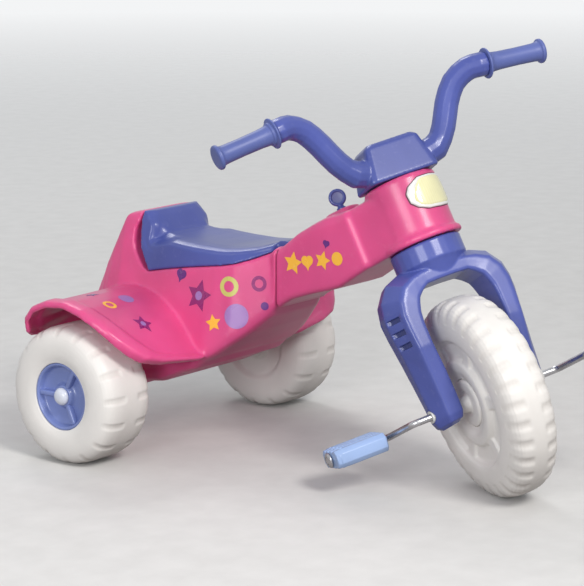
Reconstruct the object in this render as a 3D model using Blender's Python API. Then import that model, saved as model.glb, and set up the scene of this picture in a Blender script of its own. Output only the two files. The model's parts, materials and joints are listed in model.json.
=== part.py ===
"""Child's pedal tricycle: a moulded plastic frame with flared rear fenders, a lift-up seat over a
storage tray, a raked fork and handlebar, a front wheel driven straight by a bent crank rod, and two
rear wheels on a plain axle. Metres, +Z up, the front faces -Y and the rider's right is -X."""

import math

import bmesh
import bpy
from mathutils import Matrix, Vector

# Clearances
FIT = 0.0003  # between pieces that touch
RUNNING = 0.0006  # between a turning piece and what carries it

# Wheels
WHEELBASE = 0.497
FRONT_WHEEL_RADIUS = 0.127
FRONT_WHEEL_WIDTH = 0.064
FRONT_RIBS = 31
OUTER_RING = 0.078  # radius of the step in the front wheel's side
INNER_RING = 0.051  # radius of the raised ring round its hub
FRONT_HUB_RADIUS = 0.030
FRONT_RIB_DEPTH = 0.0022
REAR_WHEEL_RADIUS = 0.090
REAR_WHEEL_WIDTH = 0.086
REAR_TRACK = 0.386
REAR_GROOVES = 16
REAR_GROOVE_DEPTH = 0.0018
HUB_RADIUS = 0.0436
HUB_DEPTH = 0.022
HUB_WEBS = 3
HUB_WEB_WIDTH = 0.0060
HUB_BOSS_RADIUS = 0.0135
CAP_RADIUS = 0.0108
CAP_HEIGHT = 0.0075

# Rods
AXLE_RADIUS = 0.0048
CRANK_ROD_RADIUS = 0.0044
CRANK_ARM = 0.082
CRANK_BEND_RADIUS = 0.009
CRANK_OVERHANG = 0.024  # of the rod beyond the fork's tip
CRANK_SPLAY = 0.006
PEDAL_PIN_LENGTH = 0.0845

# Steering
RAKE = math.radians(28.8)
STEER_AT_REST = math.radians(30.4)  # turned to the rider's right
HEAD_BOTTOM = 0.2005  # up the steering line from the front axle
HEAD_HEIGHT = 0.083
HEAD_RADIUS = 0.046
HEAD_STEP = 0.0075  # from the head's top down to the neck's
NECK_CREASE = 0.052  # behind the steering line, where the neck narrows to the head
NECK_BEVEL = 0.007  # length of that narrowing
NECK_FOOT = 0.117  # of the neck's underside at the groove, above the rear axle
LIP_FLARE = 0.005
LIP_HEIGHT = 0.009
STEM_RADIUS = 0.0125
BUSHING_WALL = 0.0035
BUSHING_FLANGE_RADIUS = 0.024
BUSHING_FLANGE_HEIGHT = 0.0025
BUSHING_LENGTH = 0.018

# Fork
COLLAR_RADIUS = 0.0455
COLLAR_HEIGHT = 0.028
WHEEL_TO_LEG = 0.012
WHEEL_TO_CROWN = 0.0225
LEG_THICKNESS = 0.0345
LEG_DEPTH = 0.060
LEG_TIP_DEPTH = 0.044
LEG_BELOW_AXLE = 0.019
LEG_AHEAD = 0.036  # of the leg's depth, the part ahead of the steering line
LEG_WAIST = 0.004  # how much the leg's outer face draws in towards its rear edge
CROWN_THICKNESS = 0.027
LEG_SLOTS = 3
LEG_SLOT_FOOT = 0.089  # up the steering line from the axle to the lowest slot
LEG_SLOT_PITCH = 0.0165
LEG_SLOT_HEIGHT = 0.0068
LEG_SLOT_LENGTH = 0.034
LEG_SLOT_DEPTH = 0.004
LEG_SLOT_TURN = math.radians(12)
LEG_SLOT_AHEAD = 0.004
AXLE_BUSHING_RADIUS = 0.0078

# Handlebar
BAR_RADIUS = 0.0155
BAR_HALF_SPAN = 0.226  # to the outer end of the grip
BAR_RISE = 0.096  # of the tube's top bend above the head
BAR_REACH = 0.052  # of the grips ahead of the steering line
GRIP_LENGTH = 0.080
GRIP_CORE_RADIUS = 0.0078
GRIP_RADIUS = 0.0114
GRIP_FLANGE_RADIUS = 0.0195
GRIP_END_RADIUS = 0.0155
GRIP_FLANGE_WIDTH = 0.008
BLOCK_HEIGHT = 0.050
BLOCK_HALF_WIDTH = 0.048
BLOCK_TOP_HALF_WIDTH = 0.036
BLOCK_FRONT = 0.037
BLOCK_BACK = 0.030

# Frame
RIM_HALF_WIDTH = 0.070  # of the seat and the rim that it rests on
FOOT_HALF_WIDTH = 0.097
NECK_HALF_WIDTH = 0.050
GROOVE_DEPTH = 0.0028
GROOVE_WIDTH = 0.0045
BACKREST_TOP_HALF_WIDTH = 0.0518
FENDER_GAP = 0.026  # from the rear tyre to the fender's rim
FENDER_OVERHANG = 0.001
FENDER_WALL = 0.006
FENDER_BAND_WIDTH = 0.026
FENDER_BAND_STEP = 0.0030
SKIRT_HEIGHT = 0.0088
SLEEVE_RADIUS = 0.012
SPACER_RADIUS = 0.013
SPACER_LENGTH = 0.008
TRAY_HALF_WIDTH = 0.052
TRAY_FRONT = 0.150  # ahead of the rear axle
TRAY_BACK = 0.024
TRAY_DEPTH = 0.078
TRAY_CORNER = 0.014

# Seat
SEAT_CREASE_DROP = 0.0065  # from the crown's height down to the crease over the skirt
NOSE_AHEAD = 0.208  # of the seat's hinge pin from the rear axle
NOSE_ABOVE = 0.186  # of the seat's hinge pin above the rear axle
NOSE_RADIUS = 0.0115
NOSE_HALF_WIDTH = 0.030
HINGE_PIN_RADIUS = 0.0022
HINGE_PIN_GRIP = 0.010  # how far the pin runs into each side of the frame

# Key
KEY_BEHIND_HEAD = 0.036334  # from the crease where the neck meets the head
KEY_BOW_RADIUS = 0.0112
KEY_BOW_THICKNESS = 0.0068
KEY_STEM_RADIUS = 0.0042
KEY_STEM_LENGTH = 0.030
KEY_RISE = 0.0225
KEY_BOSS_LENGTH = 0.046
KEY_BOSS_WIDTH = 0.030
KEY_BOSS_HEIGHT = 0.006
KEY_AT_REST = math.radians(40)

# Pedals
PEDAL_LENGTH = 0.070
PEDAL_WIDTH = 0.052
PEDAL_THICKNESS = 0.024
PEDAL_BORE_CLEARANCE = 0.0006
PEDAL_TREAD_GROOVES = 3
PEDAL_GROOVE_DEPTH = 0.0022
PUSH_NUT_RADIUS = 0.0095
PUSH_NUT_THICKNESS = 0.004

# Colours, as linear red, green and blue
PINK = (0.83, 0.07, 0.25)
VIOLET = (0.12, 0.13, 0.52)
WHITE = (0.86, 0.83, 0.78)
BLUE = (0.26, 0.42, 0.78)
STEEL = (0.55, 0.55, 0.56)
NYLON = (0.80, 0.80, 0.78)


def clear_scene():
    for obj in list(bpy.data.objects):
        bpy.data.objects.remove(obj, do_unlink=True)


def material(name, colour, roughness=0.4, metallic=0.0):
    made = bpy.data.materials.get(name)
    if made:
        return made
    made = bpy.data.materials.new(name)
    made.use_nodes = True
    shader = made.node_tree.nodes["Principled BSDF"]
    shader.inputs["Base Color"].default_value = (*colour, 1.0)
    shader.inputs["Roughness"].default_value = roughness
    shader.inputs["Metallic"].default_value = metallic
    made.diffuse_color = (*colour, 1.0)
    return made


def plastic(colour_name, colour):
    return material(colour_name + "_plastic", colour, 0.35)


def steel():
    return material("zinc_plated_steel", STEEL, 0.3, 1.0)


def empty(name, location=(0, 0, 0), rotation=(0, 0, 0), parent=None):
    made = bpy.data.objects.new(name, None)
    made.location = location
    made.rotation_euler = rotation
    made.parent = parent
    bpy.context.scene.collection.objects.link(made)
    return made


def add_object(name, mesh, parent=None, finish=None, location=(0, 0, 0), smooth=40):
    made = bpy.data.objects.new(name, mesh)
    made.location = location
    made.parent = parent
    bpy.context.scene.collection.objects.link(made)
    if finish:
        mesh.materials.clear()
        mesh.materials.append(finish)
    mesh.shade_smooth()
    mesh.set_sharp_from_angle(angle=math.radians(smooth))
    return made


def mesh_from(bm, name):
    bmesh.ops.remove_doubles(bm, verts=bm.verts, dist=1e-6)
    bmesh.ops.recalc_face_normals(bm, faces=bm.faces)
    mesh = bpy.data.meshes.new(name)
    bm.to_mesh(mesh)
    bm.free()
    return mesh


def loft(name, rings, close_ends=True, ring_closed=True):
    """A skin through rings of points that all hold the same number of points."""
    bm = bmesh.new()
    rows = [[bm.verts.new(point) for point in ring] for ring in rings]
    count = len(rows[0])
    last = count if ring_closed else count - 1
    for low, high in zip(rows, rows[1:]):
        for i in range(last):
            j = (i + 1) % count
            bm.faces.new((low[i], low[j], high[j], high[i]))
    if close_ends:
        bm.faces.new(rows[0][::-1])
        bm.faces.new(rows[-1])
    return mesh_from(bm, name)


def turned(name, profile, steps, cut=None, finer=None):
    """A closed profile of (along, radius) points spun about X. cut(step, along, radius) is how deep
    a pattern sinks there. Points that finer() picks have twice the steps of the others."""
    def is_fine(point):
        return finer is not None and finer(*point)

    bm = bmesh.new()
    total = steps * (2 if finer else 1)
    columns = []
    for along, radius in profile:
        stride = 1 if is_fine((along, radius)) or not finer else 2
        column = {}
        for k in range(0, total, stride):
            angle = 2 * math.pi * k / total
            r = radius - (cut(k, along, radius) if cut else 0.0)
            column[k] = bm.verts.new((along, r * math.cos(angle), r * math.sin(angle)))
        columns.append(column)
    for i, low in enumerate(columns):
        high = columns[(i + 1) % len(columns)]
        if len(low) == len(high):
            stride = total // len(low)
            for k in range(0, total, stride):
                n = (k + stride) % total
                bm.faces.new((low[k], high[k], high[n], low[n]))
            continue
        fine, plain = (low, high) if len(low) > len(high) else (high, low)
        for k in range(0, total, 2):
            m, n = k + 1, (k + 2) % total
            bm.faces.new((fine[k], fine[m], plain[k]))
            bm.faces.new((fine[m], plain[n], plain[k]))
            bm.faces.new((fine[m], fine[n], plain[n]))
    return mesh_from(bm, name)


def arc(centre, radius, start, end, steps):
    """Points on an arc, its angles in degrees, as (along, up) pairs."""
    points = []
    for i in range(steps + 1):
        angle = math.radians(start + (end - start) * i / steps)
        points.append((centre[0] + radius * math.cos(angle), centre[1] + radius * math.sin(angle)))
    return points


def rounded(corners, radii, steps=2):
    """A closed outline of (across, up) corners, each rounded by its radius."""
    points = []
    count = len(corners)
    for i, (corner, radius) in enumerate(zip(corners, radii)):
        here = Vector(corner)
        before = (Vector(corners[i - 1]) - here).normalized()
        after = (Vector(corners[(i + 1) % count]) - here).normalized()
        if radius <= 0:
            points.append(tuple(here))
            continue
        half = before.angle(after) / 2
        reach = radius / math.tan(half)
        centre = here + (before + after).normalized() * (radius / math.sin(half))
        first = here + before * reach - centre
        last = here + after * reach - centre
        turn = first.angle_signed(last)
        for k in range(steps + 1):
            offset = Matrix.Rotation(-turn * k / steps, 2) @ first
            points.append(tuple(centre + offset))
    return points


def prism(name, outline, low, high, axis="X"):
    """A closed outline carried straight along one axis."""
    def place(point, along):
        across, up = point
        if axis == "X":
            return (along, across, up)
        if axis == "Y":
            return (across, along, up)
        return (across, up, along)

    return loft(name, [[place(p, low) for p in outline], [place(p, high) for p in outline]])


def cylinder(name, radius, low, high, axis="X", steps=24, centre=(0, 0)):
    circle = [
        (
            centre[0] + radius * math.cos(2 * math.pi * i / steps),
            centre[1] + radius * math.sin(2 * math.pi * i / steps),
        )
        for i in range(steps)
    ]
    return prism(name, circle, low, high, axis)


def boolean(target, helper, operation):
    modifier = target.modifiers.new(helper.name, "BOOLEAN")
    modifier.operation = operation
    modifier.object = helper
    helper.hide_render = True
    helper.display_type = "WIRE"


def smooth_path(points, steps):
    """Points on a smooth curve through the given points."""
    path = [Vector(p) for p in points]
    path = [2 * path[0] - path[1]] + path + [2 * path[-1] - path[-2]]
    out = []
    for i in range(1, len(path) - 2):
        a, b, c, d = path[i - 1 : i + 3]
        for k in range(steps):
            t = k / steps
            out.append(
                0.5 * (2 * b + (c - a) * t + (2 * a - 5 * b + 4 * c - d) * t**2
                       + (3 * b - a - 3 * c + d) * t**3)
            )
    out.append(path[-2])
    return out


def tube_rings(path, radii, steps):
    """Rings of points square to a path, with a steady twist."""
    rings = []
    side = None
    for i, point in enumerate(path):
        ahead = (path[min(i + 1, len(path) - 1)] - path[max(i - 1, 0)]).normalized()
        if side is None:
            side = ahead.orthogonal().normalized()
        side = (side - ahead * side.dot(ahead)).normalized()
        other = ahead.cross(side)
        radius = radii[i] if isinstance(radii, list) else radii
        rings.append([
            point + radius * (side * math.cos(2 * math.pi * k / steps)
                              + other * math.sin(2 * math.pi * k / steps))
            for k in range(steps)
        ])
    return rings


AXLE_HEIGHT = REAR_WHEEL_RADIUS
REAR_HALF_TRACK = REAR_TRACK / 2
WHEEL_OUTER = REAR_HALF_TRACK + REAR_WHEEL_WIDTH / 2
WHEEL_INNER = REAR_HALF_TRACK - REAR_WHEEL_WIDTH / 2
HEAD_TOP = HEAD_BOTTOM + HEAD_HEIGHT


def front_tread_profile():
    """Half of the front tyre's section, from its middle to its side, as (out, radius)."""
    r, h = FRONT_WHEEL_RADIUS, FRONT_WHEEL_WIDTH / 2
    return [
        (0.0, r),
        (0.34 * h, r - 0.0006),
        (0.62 * h, r - 0.0034),
        (0.83 * h, r - 0.0095),
        (0.95 * h, r - 0.0185),
        (h, r - 0.0290),
    ]


def front_axle_height():
    """The lowest point of the tyre touches the floor while the fork is turned and so leans."""
    lean = Matrix.Rotation(-RAKE, 3, "X") @ Matrix.Rotation(-STEER_AT_REST, 3, "Z") @ Vector((1, 0, 0))
    slope = abs(lean.z)
    upright = math.sqrt(1 - slope**2)
    return max(upright * r + slope * out for out, r in front_tread_profile())


def steering_point(across, ahead, up):
    """A point given across, ahead of and up the steering line, the fork straight, in frame terms."""
    turn = Matrix.Rotation(-RAKE, 3, "X")
    return Vector((0, -WHEELBASE, front_axle_height())) + turn @ Vector((across, -ahead, up))


def rim_line():
    """The top edge of the frame's side under the seat, from the backrest to the neck, as
    (ahead of the rear axle, above the rear axle)."""
    return [
        (0.0048, 0.1390),
        (0.0130, 0.1410),
        (0.055, 0.1495),
        (0.097, 0.1563),
        (0.132, 0.1615),
        (0.150, 0.1655),
        (0.170, 0.1722),
        (0.185, 0.1785),
        (0.198, 0.1845),
    ]


def notch_line():
    """The frame's edge behind the seat, from the backrest's top down to the rim. It bows back."""
    return [
        (-0.0192, 0.2160),
        (-0.0232, 0.2030),
        (-0.0300, 0.1890),
        (-0.0300, 0.1740),
        (-0.0255, 0.1620),
        (-0.0147, 0.1490),
        (-0.0050, 0.1415),
    ]


RIM_STATIONS = (0.0048, 0.013, 0.040, 0.075, 0.101, 0.114, 0.129, 0.150, 0.172, 0.195)


def rim_height(ahead):
    line = rim_line()
    if ahead <= line[0][0]:
        return line[0][1]
    for (a0, h0), (a1, h1) in zip(line, line[1:]):
        if ahead <= a1:
            return h0 + (h1 - h0) * (ahead - a0) / (a1 - a0)
    return line[-1][1]


def seat_half_width(ahead):
    """The rim is widest under the rider and narrows to the neck."""
    start, end = 0.135, NOSE_AHEAD
    share = min(max((ahead - start) / (end - start), 0.0), 1.0)
    share = share * share * (3 - 2 * share)
    return RIM_HALF_WIDTH + (NECK_HALF_WIDTH - 0.006 - RIM_HALF_WIDTH) * share


def section(ahead, low, high, half_low, half_high, round_low, round_high, ahead_high=None):
    """One section of the frame, flat sided with rounded edges, heights above the axle. It stands
    upright, or leans when its top has its own place ahead."""
    corners = [
        (-half_low, low), (half_low, low), (half_high, high), (-half_high, high),
    ]
    outline = rounded(corners, [round_low, round_low, round_high, round_high])
    lean = 0.0 if ahead_high is None else (ahead_high - ahead) / (high - low)
    return [(x, -(ahead + (z - low) * lean), AXLE_HEIGHT + z) for x, z in outline]


def head_section(back, low, high, half):
    """A section square to the neck at the head, its lines running along the steering line."""
    bottom, top = steering_point(0, -back, low), steering_point(0, -back, high)
    return section(-bottom.y, bottom.z - AXLE_HEIGHT, top.z - AXLE_HEIGHT, half, half,
                   0.006, 0.008, -top.y)


def neck_end():
    """Where the neck meets the head, as its lower and upper (ahead, above the axle)."""
    back = NECK_CREASE + NECK_BEVEL
    bottom = steering_point(0, -back, HEAD_BOTTOM - 0.0015)
    top = steering_point(0, -back, HEAD_TOP - HEAD_STEP)
    return (-bottom.y, bottom.z - AXLE_HEIGHT), (-top.y, top.z - AXLE_HEIGHT)


def neck_sections():
    """The neck between the groove and the head, as (ahead, low, high, ahead of the top). Each place
    is a share of the way from the groove to the head."""
    start = NOSE_AHEAD + 0.005
    low, high = (start, NECK_FOOT), (start, NOSE_ABOVE + 0.0085)
    low_end, high_end = neck_end()
    sections = []
    for low_along, low_up, high_up, high_along in (
        (0.0, 0.0, 0.0, 0.0), (0.109947, 0.143301, 0.341480, 0.241609),
        (0.315182, 0.295948, 0.636813, 0.513420), (0.564396, 0.451711, 0.812168, 0.699660),
        (0.681674, 0.545168, 0.873080, 0.795297), (0.802616, 0.724294, 0.915535, 0.865767),
    ):
        sections.append((
            low[0] + (low_end[0] - low[0]) * low_along, low[1] + (low_end[1] - low[1]) * low_up,
            high[1] + (high_end[1] - high[1]) * high_up, high[0] + (high_end[0] - high[0]) * high_along,
        ))
    return sections


def frame_hull():
    """The middle of the frame: backrest, seat rim, foot well and neck in one skin."""
    w, f, n, b = RIM_HALF_WIDTH, FOOT_HALF_WIDTH, NECK_HALF_WIDTH, BACKREST_TOP_HALF_WIDTH
    rings = [
        section(-0.1060, 0.072, 0.086, f - 0.027, b, 0.005, 0.005),
        section(-0.1010, 0.050, 0.098, f - 0.015, b + 0.003, 0.012, 0.010),
        section(-0.0900, 0.032, 0.1215, f - 0.007, b + 0.003, 0.014, 0.011),
        section(-0.0800, 0.020, 0.1460, f - 0.004, b + 0.0025, 0.014, 0.011),
        section(-0.0705, 0.014, 0.1660, f - 0.003, b + 0.002, 0.014, 0.011),
        section(-0.0600, 0.010, 0.1860, f - 0.003, b + 0.001, 0.014, 0.010),
        section(-0.0510, 0.008, 0.2045, f - 0.003, b, 0.014, 0.010),
        section(-0.0470, 0.008, 0.2085, f - 0.003, b, 0.014, 0.009),
        section(-0.0400, 0.002, 0.2105, f - 0.003, b, 0.014, 0.009),
        section(-0.0192, -0.005, 0.2150, f - 0.002, b, 0.014, 0.009),
        section(0.0048, -0.006, rim_height(0.0048), f - 0.001, w, 0.014, 0.003),
    ]
    for ahead, low, half_low, round_low in (
        (0.0130, -0.006, f - 0.001, 0.014), (0.0400, -0.002, f, 0.014), (0.0750, 0.014, f, 0.012),
        (0.1010, 0.024, f, 0.010), (0.1140, 0.036, f - 0.001, 0.010),
        (0.1290, 0.044, f - 0.006, 0.010), (0.1500, 0.060, f - 0.014, 0.010),
        (0.1720, 0.078, f - 0.028, 0.010), (0.1950, 0.100, f - 0.041, 0.010),
    ):
        rings.append(section(ahead, low, rim_height(ahead), half_low, seat_half_width(ahead),
                             round_low, 0.003))
    groove = NOSE_AHEAD - 0.0045
    for offset, cut in ((-0.0006, 0.0), (0.0, GROOVE_DEPTH), (GROOVE_WIDTH, GROOVE_DEPTH),
                        (GROOVE_WIDTH + 0.0006, 0.0)):
        ahead = groove + offset
        rings.append(section(ahead, 0.108 + ahead * 0.02 + cut, rim_height(ahead) + 0.0065,
                             n + 0.001 - cut, n - cut, 0.008, 0.009))
    for ahead, low, high, ahead_high in neck_sections():
        rings.append(section(ahead, low, high, n, n - 0.001, 0.007, 0.011, ahead_high))
    top = HEAD_TOP - HEAD_STEP
    bottom = HEAD_BOTTOM - 0.0015
    rings.append(head_section(NECK_CREASE + NECK_BEVEL, bottom, top, n))
    rings.append(head_section(NECK_CREASE, bottom, top, HEAD_RADIUS))
    rings.append(head_section(0.0, bottom + 0.002, top, HEAD_RADIUS - 0.0004))
    return loft("frame_hull", rings)


def fender_rows(side):
    """Rows of points across one fender, from its rim in to the frame's side. The rim is an arc
    about the rear axle that turns inwards behind and ahead of the wheel."""
    reach = REAR_WHEEL_RADIUS + FENDER_GAP
    out = WHEEL_OUTER + FENDER_OVERHANG
    # angle about the axle from straight back, share of the reach, share of the way in from the
    # outside to the foot well, the skirt's height, and the root's place on the frame's side (ahead,
    # above, in from the foot well)
    stations = [
        (32, 0.90, 0.785714, 0.60, (-0.1010, 0.074), 0.021),
        (36, 0.86, 0.428571, 0.70, (-0.0990, 0.081), 0.031),
        (43, 0.84, 0.171429, 0.80, (-0.0950, 0.090), 0.034),
        (50, 0.835, 0.064286, 0.90, (-0.0900, 0.096), 0.035),
        (57, 0.915, 0.014286, 1.00, (-0.0800, 0.102), 0.035),
        (67, 0.98, 0.0, 1.00, (-0.0660, 0.1075), 0.035),
        (80, 1.005, 0.0, 1.00, (-0.0480, 0.1135), 0.033),
        (95, 1.015, 0.0, 1.00, (-0.0220, 0.1185), 0.029),
        (109, 1.005, 0.0, 1.10, (0.0040, 0.1180), 0.025),
        (120, 0.995, 0.021429, 1.20, (0.0260, 0.1120), 0.021),
        (130, 0.985, 0.064286, 1.35, (0.0460, 0.1020), 0.017),
        (139, 0.975, 0.128571, 1.55, (0.0620, 0.0930), 0.014),
        (147, 0.970, 0.214286, 1.80, (0.0780, 0.0800), 0.010),
        (153, 0.975, 0.314286, 2.00, (0.0900, 0.0690), 0.008),
        (157, 0.990, 0.514286, 2.10, (0.0970, 0.0610), 0.007),
        (161, 1.030, 0.978571, 2.10, (0.1020, 0.0530), 0.011),
    ]
    rows = []
    for angle, share, turned_in, skirt, (root_ahead, root_up), root_in in stations:
        radius = reach * share
        ahead = -radius * math.cos(math.radians(angle))
        up = radius * math.sin(math.radians(angle))
        normal = Vector((0, -math.cos(math.radians(angle)), math.sin(math.radians(angle))))
        rim = Vector((out - (out - FOOT_HALF_WIDTH) * turned_in, ahead, up))
        root = Vector((FOOT_HALF_WIDTH - root_in - 0.014, root_ahead, root_up))
        tall = SKIRT_HEIGHT * skirt
        edge = rim + normal * tall
        inward = root - edge
        length = inward.length
        inward.normalize()
        band = min(FENDER_BAND_WIDTH, length * 0.35)
        step = FENDER_BAND_STEP * min(1.0, length / 0.12)
        row = [rim]
        for along, lift in ((0.045, 0.45), (0.16, 0.80), (0.45, 1.0), (1.0, 1.0)):
            row.append(rim + inward * band * along + normal * tall * lift)
        row.append(edge + inward * (band + 0.004) - normal * step)
        for share_in in (0.42, 0.75):
            row.append(edge + inward * (band + (length - band) * share_in) - normal * step * (1 - share_in))
        row.append(root)
        rows.append([Vector((side * p.x, -p.y, AXLE_HEIGHT + p.z)) for p in row])
    return rows


def fender(side):
    name = "fender_right" if side < 0 else "fender_left"
    mesh = loft(name, fender_rows(side), close_ends=False, ring_closed=False)
    made = add_object(name, mesh)
    centre_up = Vector((side * WHEEL_OUTER * 0.7, 0, AXLE_HEIGHT + 1))
    outward = sum(
        (p.normal.dot(centre_up - p.center) * p.area for p in mesh.polygons), 0.0
    )
    if outward < 0:
        mesh.flip_normals()
    wall = made.modifiers.new("wall", "SOLIDIFY")
    wall.thickness = FENDER_WALL
    wall.offset = -1
    return made


def head_block():
    """The steering head: a round block with a flared bottom lip."""
    flare = HEAD_RADIUS + LIP_FLARE
    heights = [
        (HEAD_BOTTOM, flare - 0.0012),
        (HEAD_BOTTOM + 0.0015, flare),
        (HEAD_BOTTOM + LIP_HEIGHT * 0.75, flare),
        (HEAD_BOTTOM + LIP_HEIGHT, HEAD_RADIUS + 0.0008),
        (HEAD_BOTTOM + LIP_HEIGHT + 0.003, HEAD_RADIUS + 0.0002),
        (HEAD_TOP - 0.003, HEAD_RADIUS + 0.0002),
        (HEAD_TOP, HEAD_RADIUS - 0.0025),
    ]
    rings = []
    for up, radius in heights:
        rings.append([
            steering_point(radius * math.cos(turn), radius * math.sin(turn), up)
            for turn in [2 * math.pi * k / 28 for k in range(28)]
        ])
    return loft("head_block", rings)


def on_steering_line(name, mesh):
    """A helper made along Z, laid on the steering line with the fork straight."""
    made = add_object(name, mesh)
    made.location = steering_point(0, 0, 0)
    made.rotation_euler = (-RAKE, 0, 0)
    return made


def key_place():
    """The foot of the key's boss on the neck's top, and the neck's slope there."""
    tops = [(ahead, high) for _, _, high, ahead in neck_sections()]
    tops.append(neck_end()[1])
    key_ahead = tops[-1][0] - KEY_BEHIND_HEAD
    for (a0, t0), (a1, t1) in zip(tops, tops[1:]):
        if a0 <= key_ahead <= a1:
            up = t0 + (t1 - t0) * (key_ahead - a0) / (a1 - a0)
            return Vector((0, -key_ahead, AXLE_HEIGHT + up)), math.atan2(t1 - t0, a1 - a0)
    raise ValueError("the key stands off the neck")


def make_frame(parent):
    shell = add_object("frame_shell", frame_hull(), parent, plastic("pink", PINK))
    for side in (-1, 1):
        piece = fender(side)
        piece.parent = parent
        boolean(shell, piece, "UNION")
    head = add_object("head_block", head_block(), parent)
    boolean(shell, head, "UNION")

    sleeve_end = WHEEL_INNER - SPACER_LENGTH - FIT
    sleeve = add_object(
        "axle_sleeve",
        cylinder("axle_sleeve", SLEEVE_RADIUS, -sleeve_end, sleeve_end, steps=20), parent,
        location=(0, 0, AXLE_HEIGHT),
    )
    boolean(shell, sleeve, "UNION")

    foot, slope = key_place()
    across, along = KEY_BOSS_WIDTH / 2, KEY_BOSS_LENGTH / 2
    pad = rounded([(-across, -along), (across, -along), (across, along), (-across, along)], [0.010] * 4)
    boss_rings = []
    for up, squeeze in ((-0.010, 1.0), (KEY_BOSS_HEIGHT - 0.002, 1.0), (KEY_BOSS_HEIGHT, 0.88)):
        boss_rings.append([(x * squeeze, y * squeeze, up) for x, y in pad])
    boss = add_object("key_boss", loft("key_boss", boss_rings), parent, location=foot)
    boss.rotation_euler = (-slope, 0, 0)
    boolean(shell, boss, "UNION")

    tray_top = rim_height(TRAY_FRONT) + 0.02
    tray_floor = rim_height(TRAY_BACK) - TRAY_DEPTH
    tray_outline = rounded(
        [(-TRAY_HALF_WIDTH, -TRAY_FRONT), (TRAY_HALF_WIDTH, -TRAY_FRONT),
         (TRAY_HALF_WIDTH, -TRAY_BACK), (-TRAY_HALF_WIDTH, -TRAY_BACK)], [TRAY_CORNER] * 4)
    tray = add_object(
        "tray_cutter", prism("tray_cutter", tray_outline, tray_floor, tray_top, "Z"), parent,
        location=(0, 0, AXLE_HEIGHT),
    )
    boolean(shell, tray, "DIFFERENCE")

    notch = notch_line()
    notch_outline = notch + [(0.0042, 0.1386), (0.0300, 0.1560), (0.0300, 0.2600), (-0.0192, 0.2600)]
    notch_cut = add_object(
        "notch_cutter",
        prism("notch_cutter", [(-a, up) for a, up in notch_outline], -0.12, 0.12), parent,
        location=(0, 0, AXLE_HEIGHT),
    )
    boolean(shell, notch_cut, "DIFFERENCE")

    nose_cut = cylinder("nose_cutter", NOSE_RADIUS + RUNNING, -NOSE_HALF_WIDTH - RUNNING,
                        NOSE_HALF_WIDTH + RUNNING, steps=20)
    nose = add_object("nose_cutter", nose_cut, parent,
                      location=(0, -NOSE_AHEAD, AXLE_HEIGHT + NOSE_ABOVE))
    boolean(shell, nose, "DIFFERENCE")
    mouth_outline = [
        (-NOSE_AHEAD - NOSE_RADIUS - RUNNING, NOSE_ABOVE),
        (-NOSE_AHEAD - NOSE_RADIUS - RUNNING, NOSE_ABOVE + 0.05),
        (-NOSE_AHEAD + 0.0142, NOSE_ABOVE + 0.05),
        (-NOSE_AHEAD + 0.0142, NOSE_ABOVE - 0.0085),
        (-NOSE_AHEAD + 0.003, NOSE_ABOVE - NOSE_RADIUS - RUNNING),
    ]
    mouth = add_object(
        "mouth_cutter",
        prism("mouth_cutter", mouth_outline, -NOSE_HALF_WIDTH - RUNNING, NOSE_HALF_WIDTH + RUNNING),
        parent, location=(0, 0, AXLE_HEIGHT),
    )
    boolean(shell, mouth, "DIFFERENCE")

    pin_end = NOSE_HALF_WIDTH + HINGE_PIN_GRIP + FIT
    pin_hole = add_object(
        "pin_cutter", cylinder("pin_cutter", HINGE_PIN_RADIUS + FIT, -pin_end, pin_end, steps=12),
        parent, location=(0, -NOSE_AHEAD, AXLE_HEIGHT + NOSE_ABOVE),
    )
    boolean(shell, pin_hole, "DIFFERENCE")

    axle_hole = add_object(
        "axle_cutter", cylinder("axle_cutter", AXLE_RADIUS + FIT, -0.2, 0.2, steps=16), parent,
        location=(0, 0, AXLE_HEIGHT),
    )
    boolean(shell, axle_hole, "DIFFERENCE")

    bore = cylinder("bore_cutter", STEM_RADIUS + BUSHING_WALL + 2 * FIT, HEAD_BOTTOM - 0.02,
                    HEAD_TOP + 0.02, "Z", 24)
    bore = on_steering_line("bore_cutter", bore)
    bore.parent = parent
    boolean(shell, bore, "DIFFERENCE")

    key_hole = add_object(
        "key_cutter",
        cylinder("key_cutter", KEY_STEM_RADIUS + RUNNING, KEY_RISE - KEY_BOW_RADIUS
                 - KEY_STEM_LENGTH - 0.002, 0.05, "Z", 14),
        parent, location=foot,
    )
    key_hole.rotation_euler = (-slope, 0, 0)
    boolean(shell, key_hole, "DIFFERENCE")
    return shell


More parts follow.
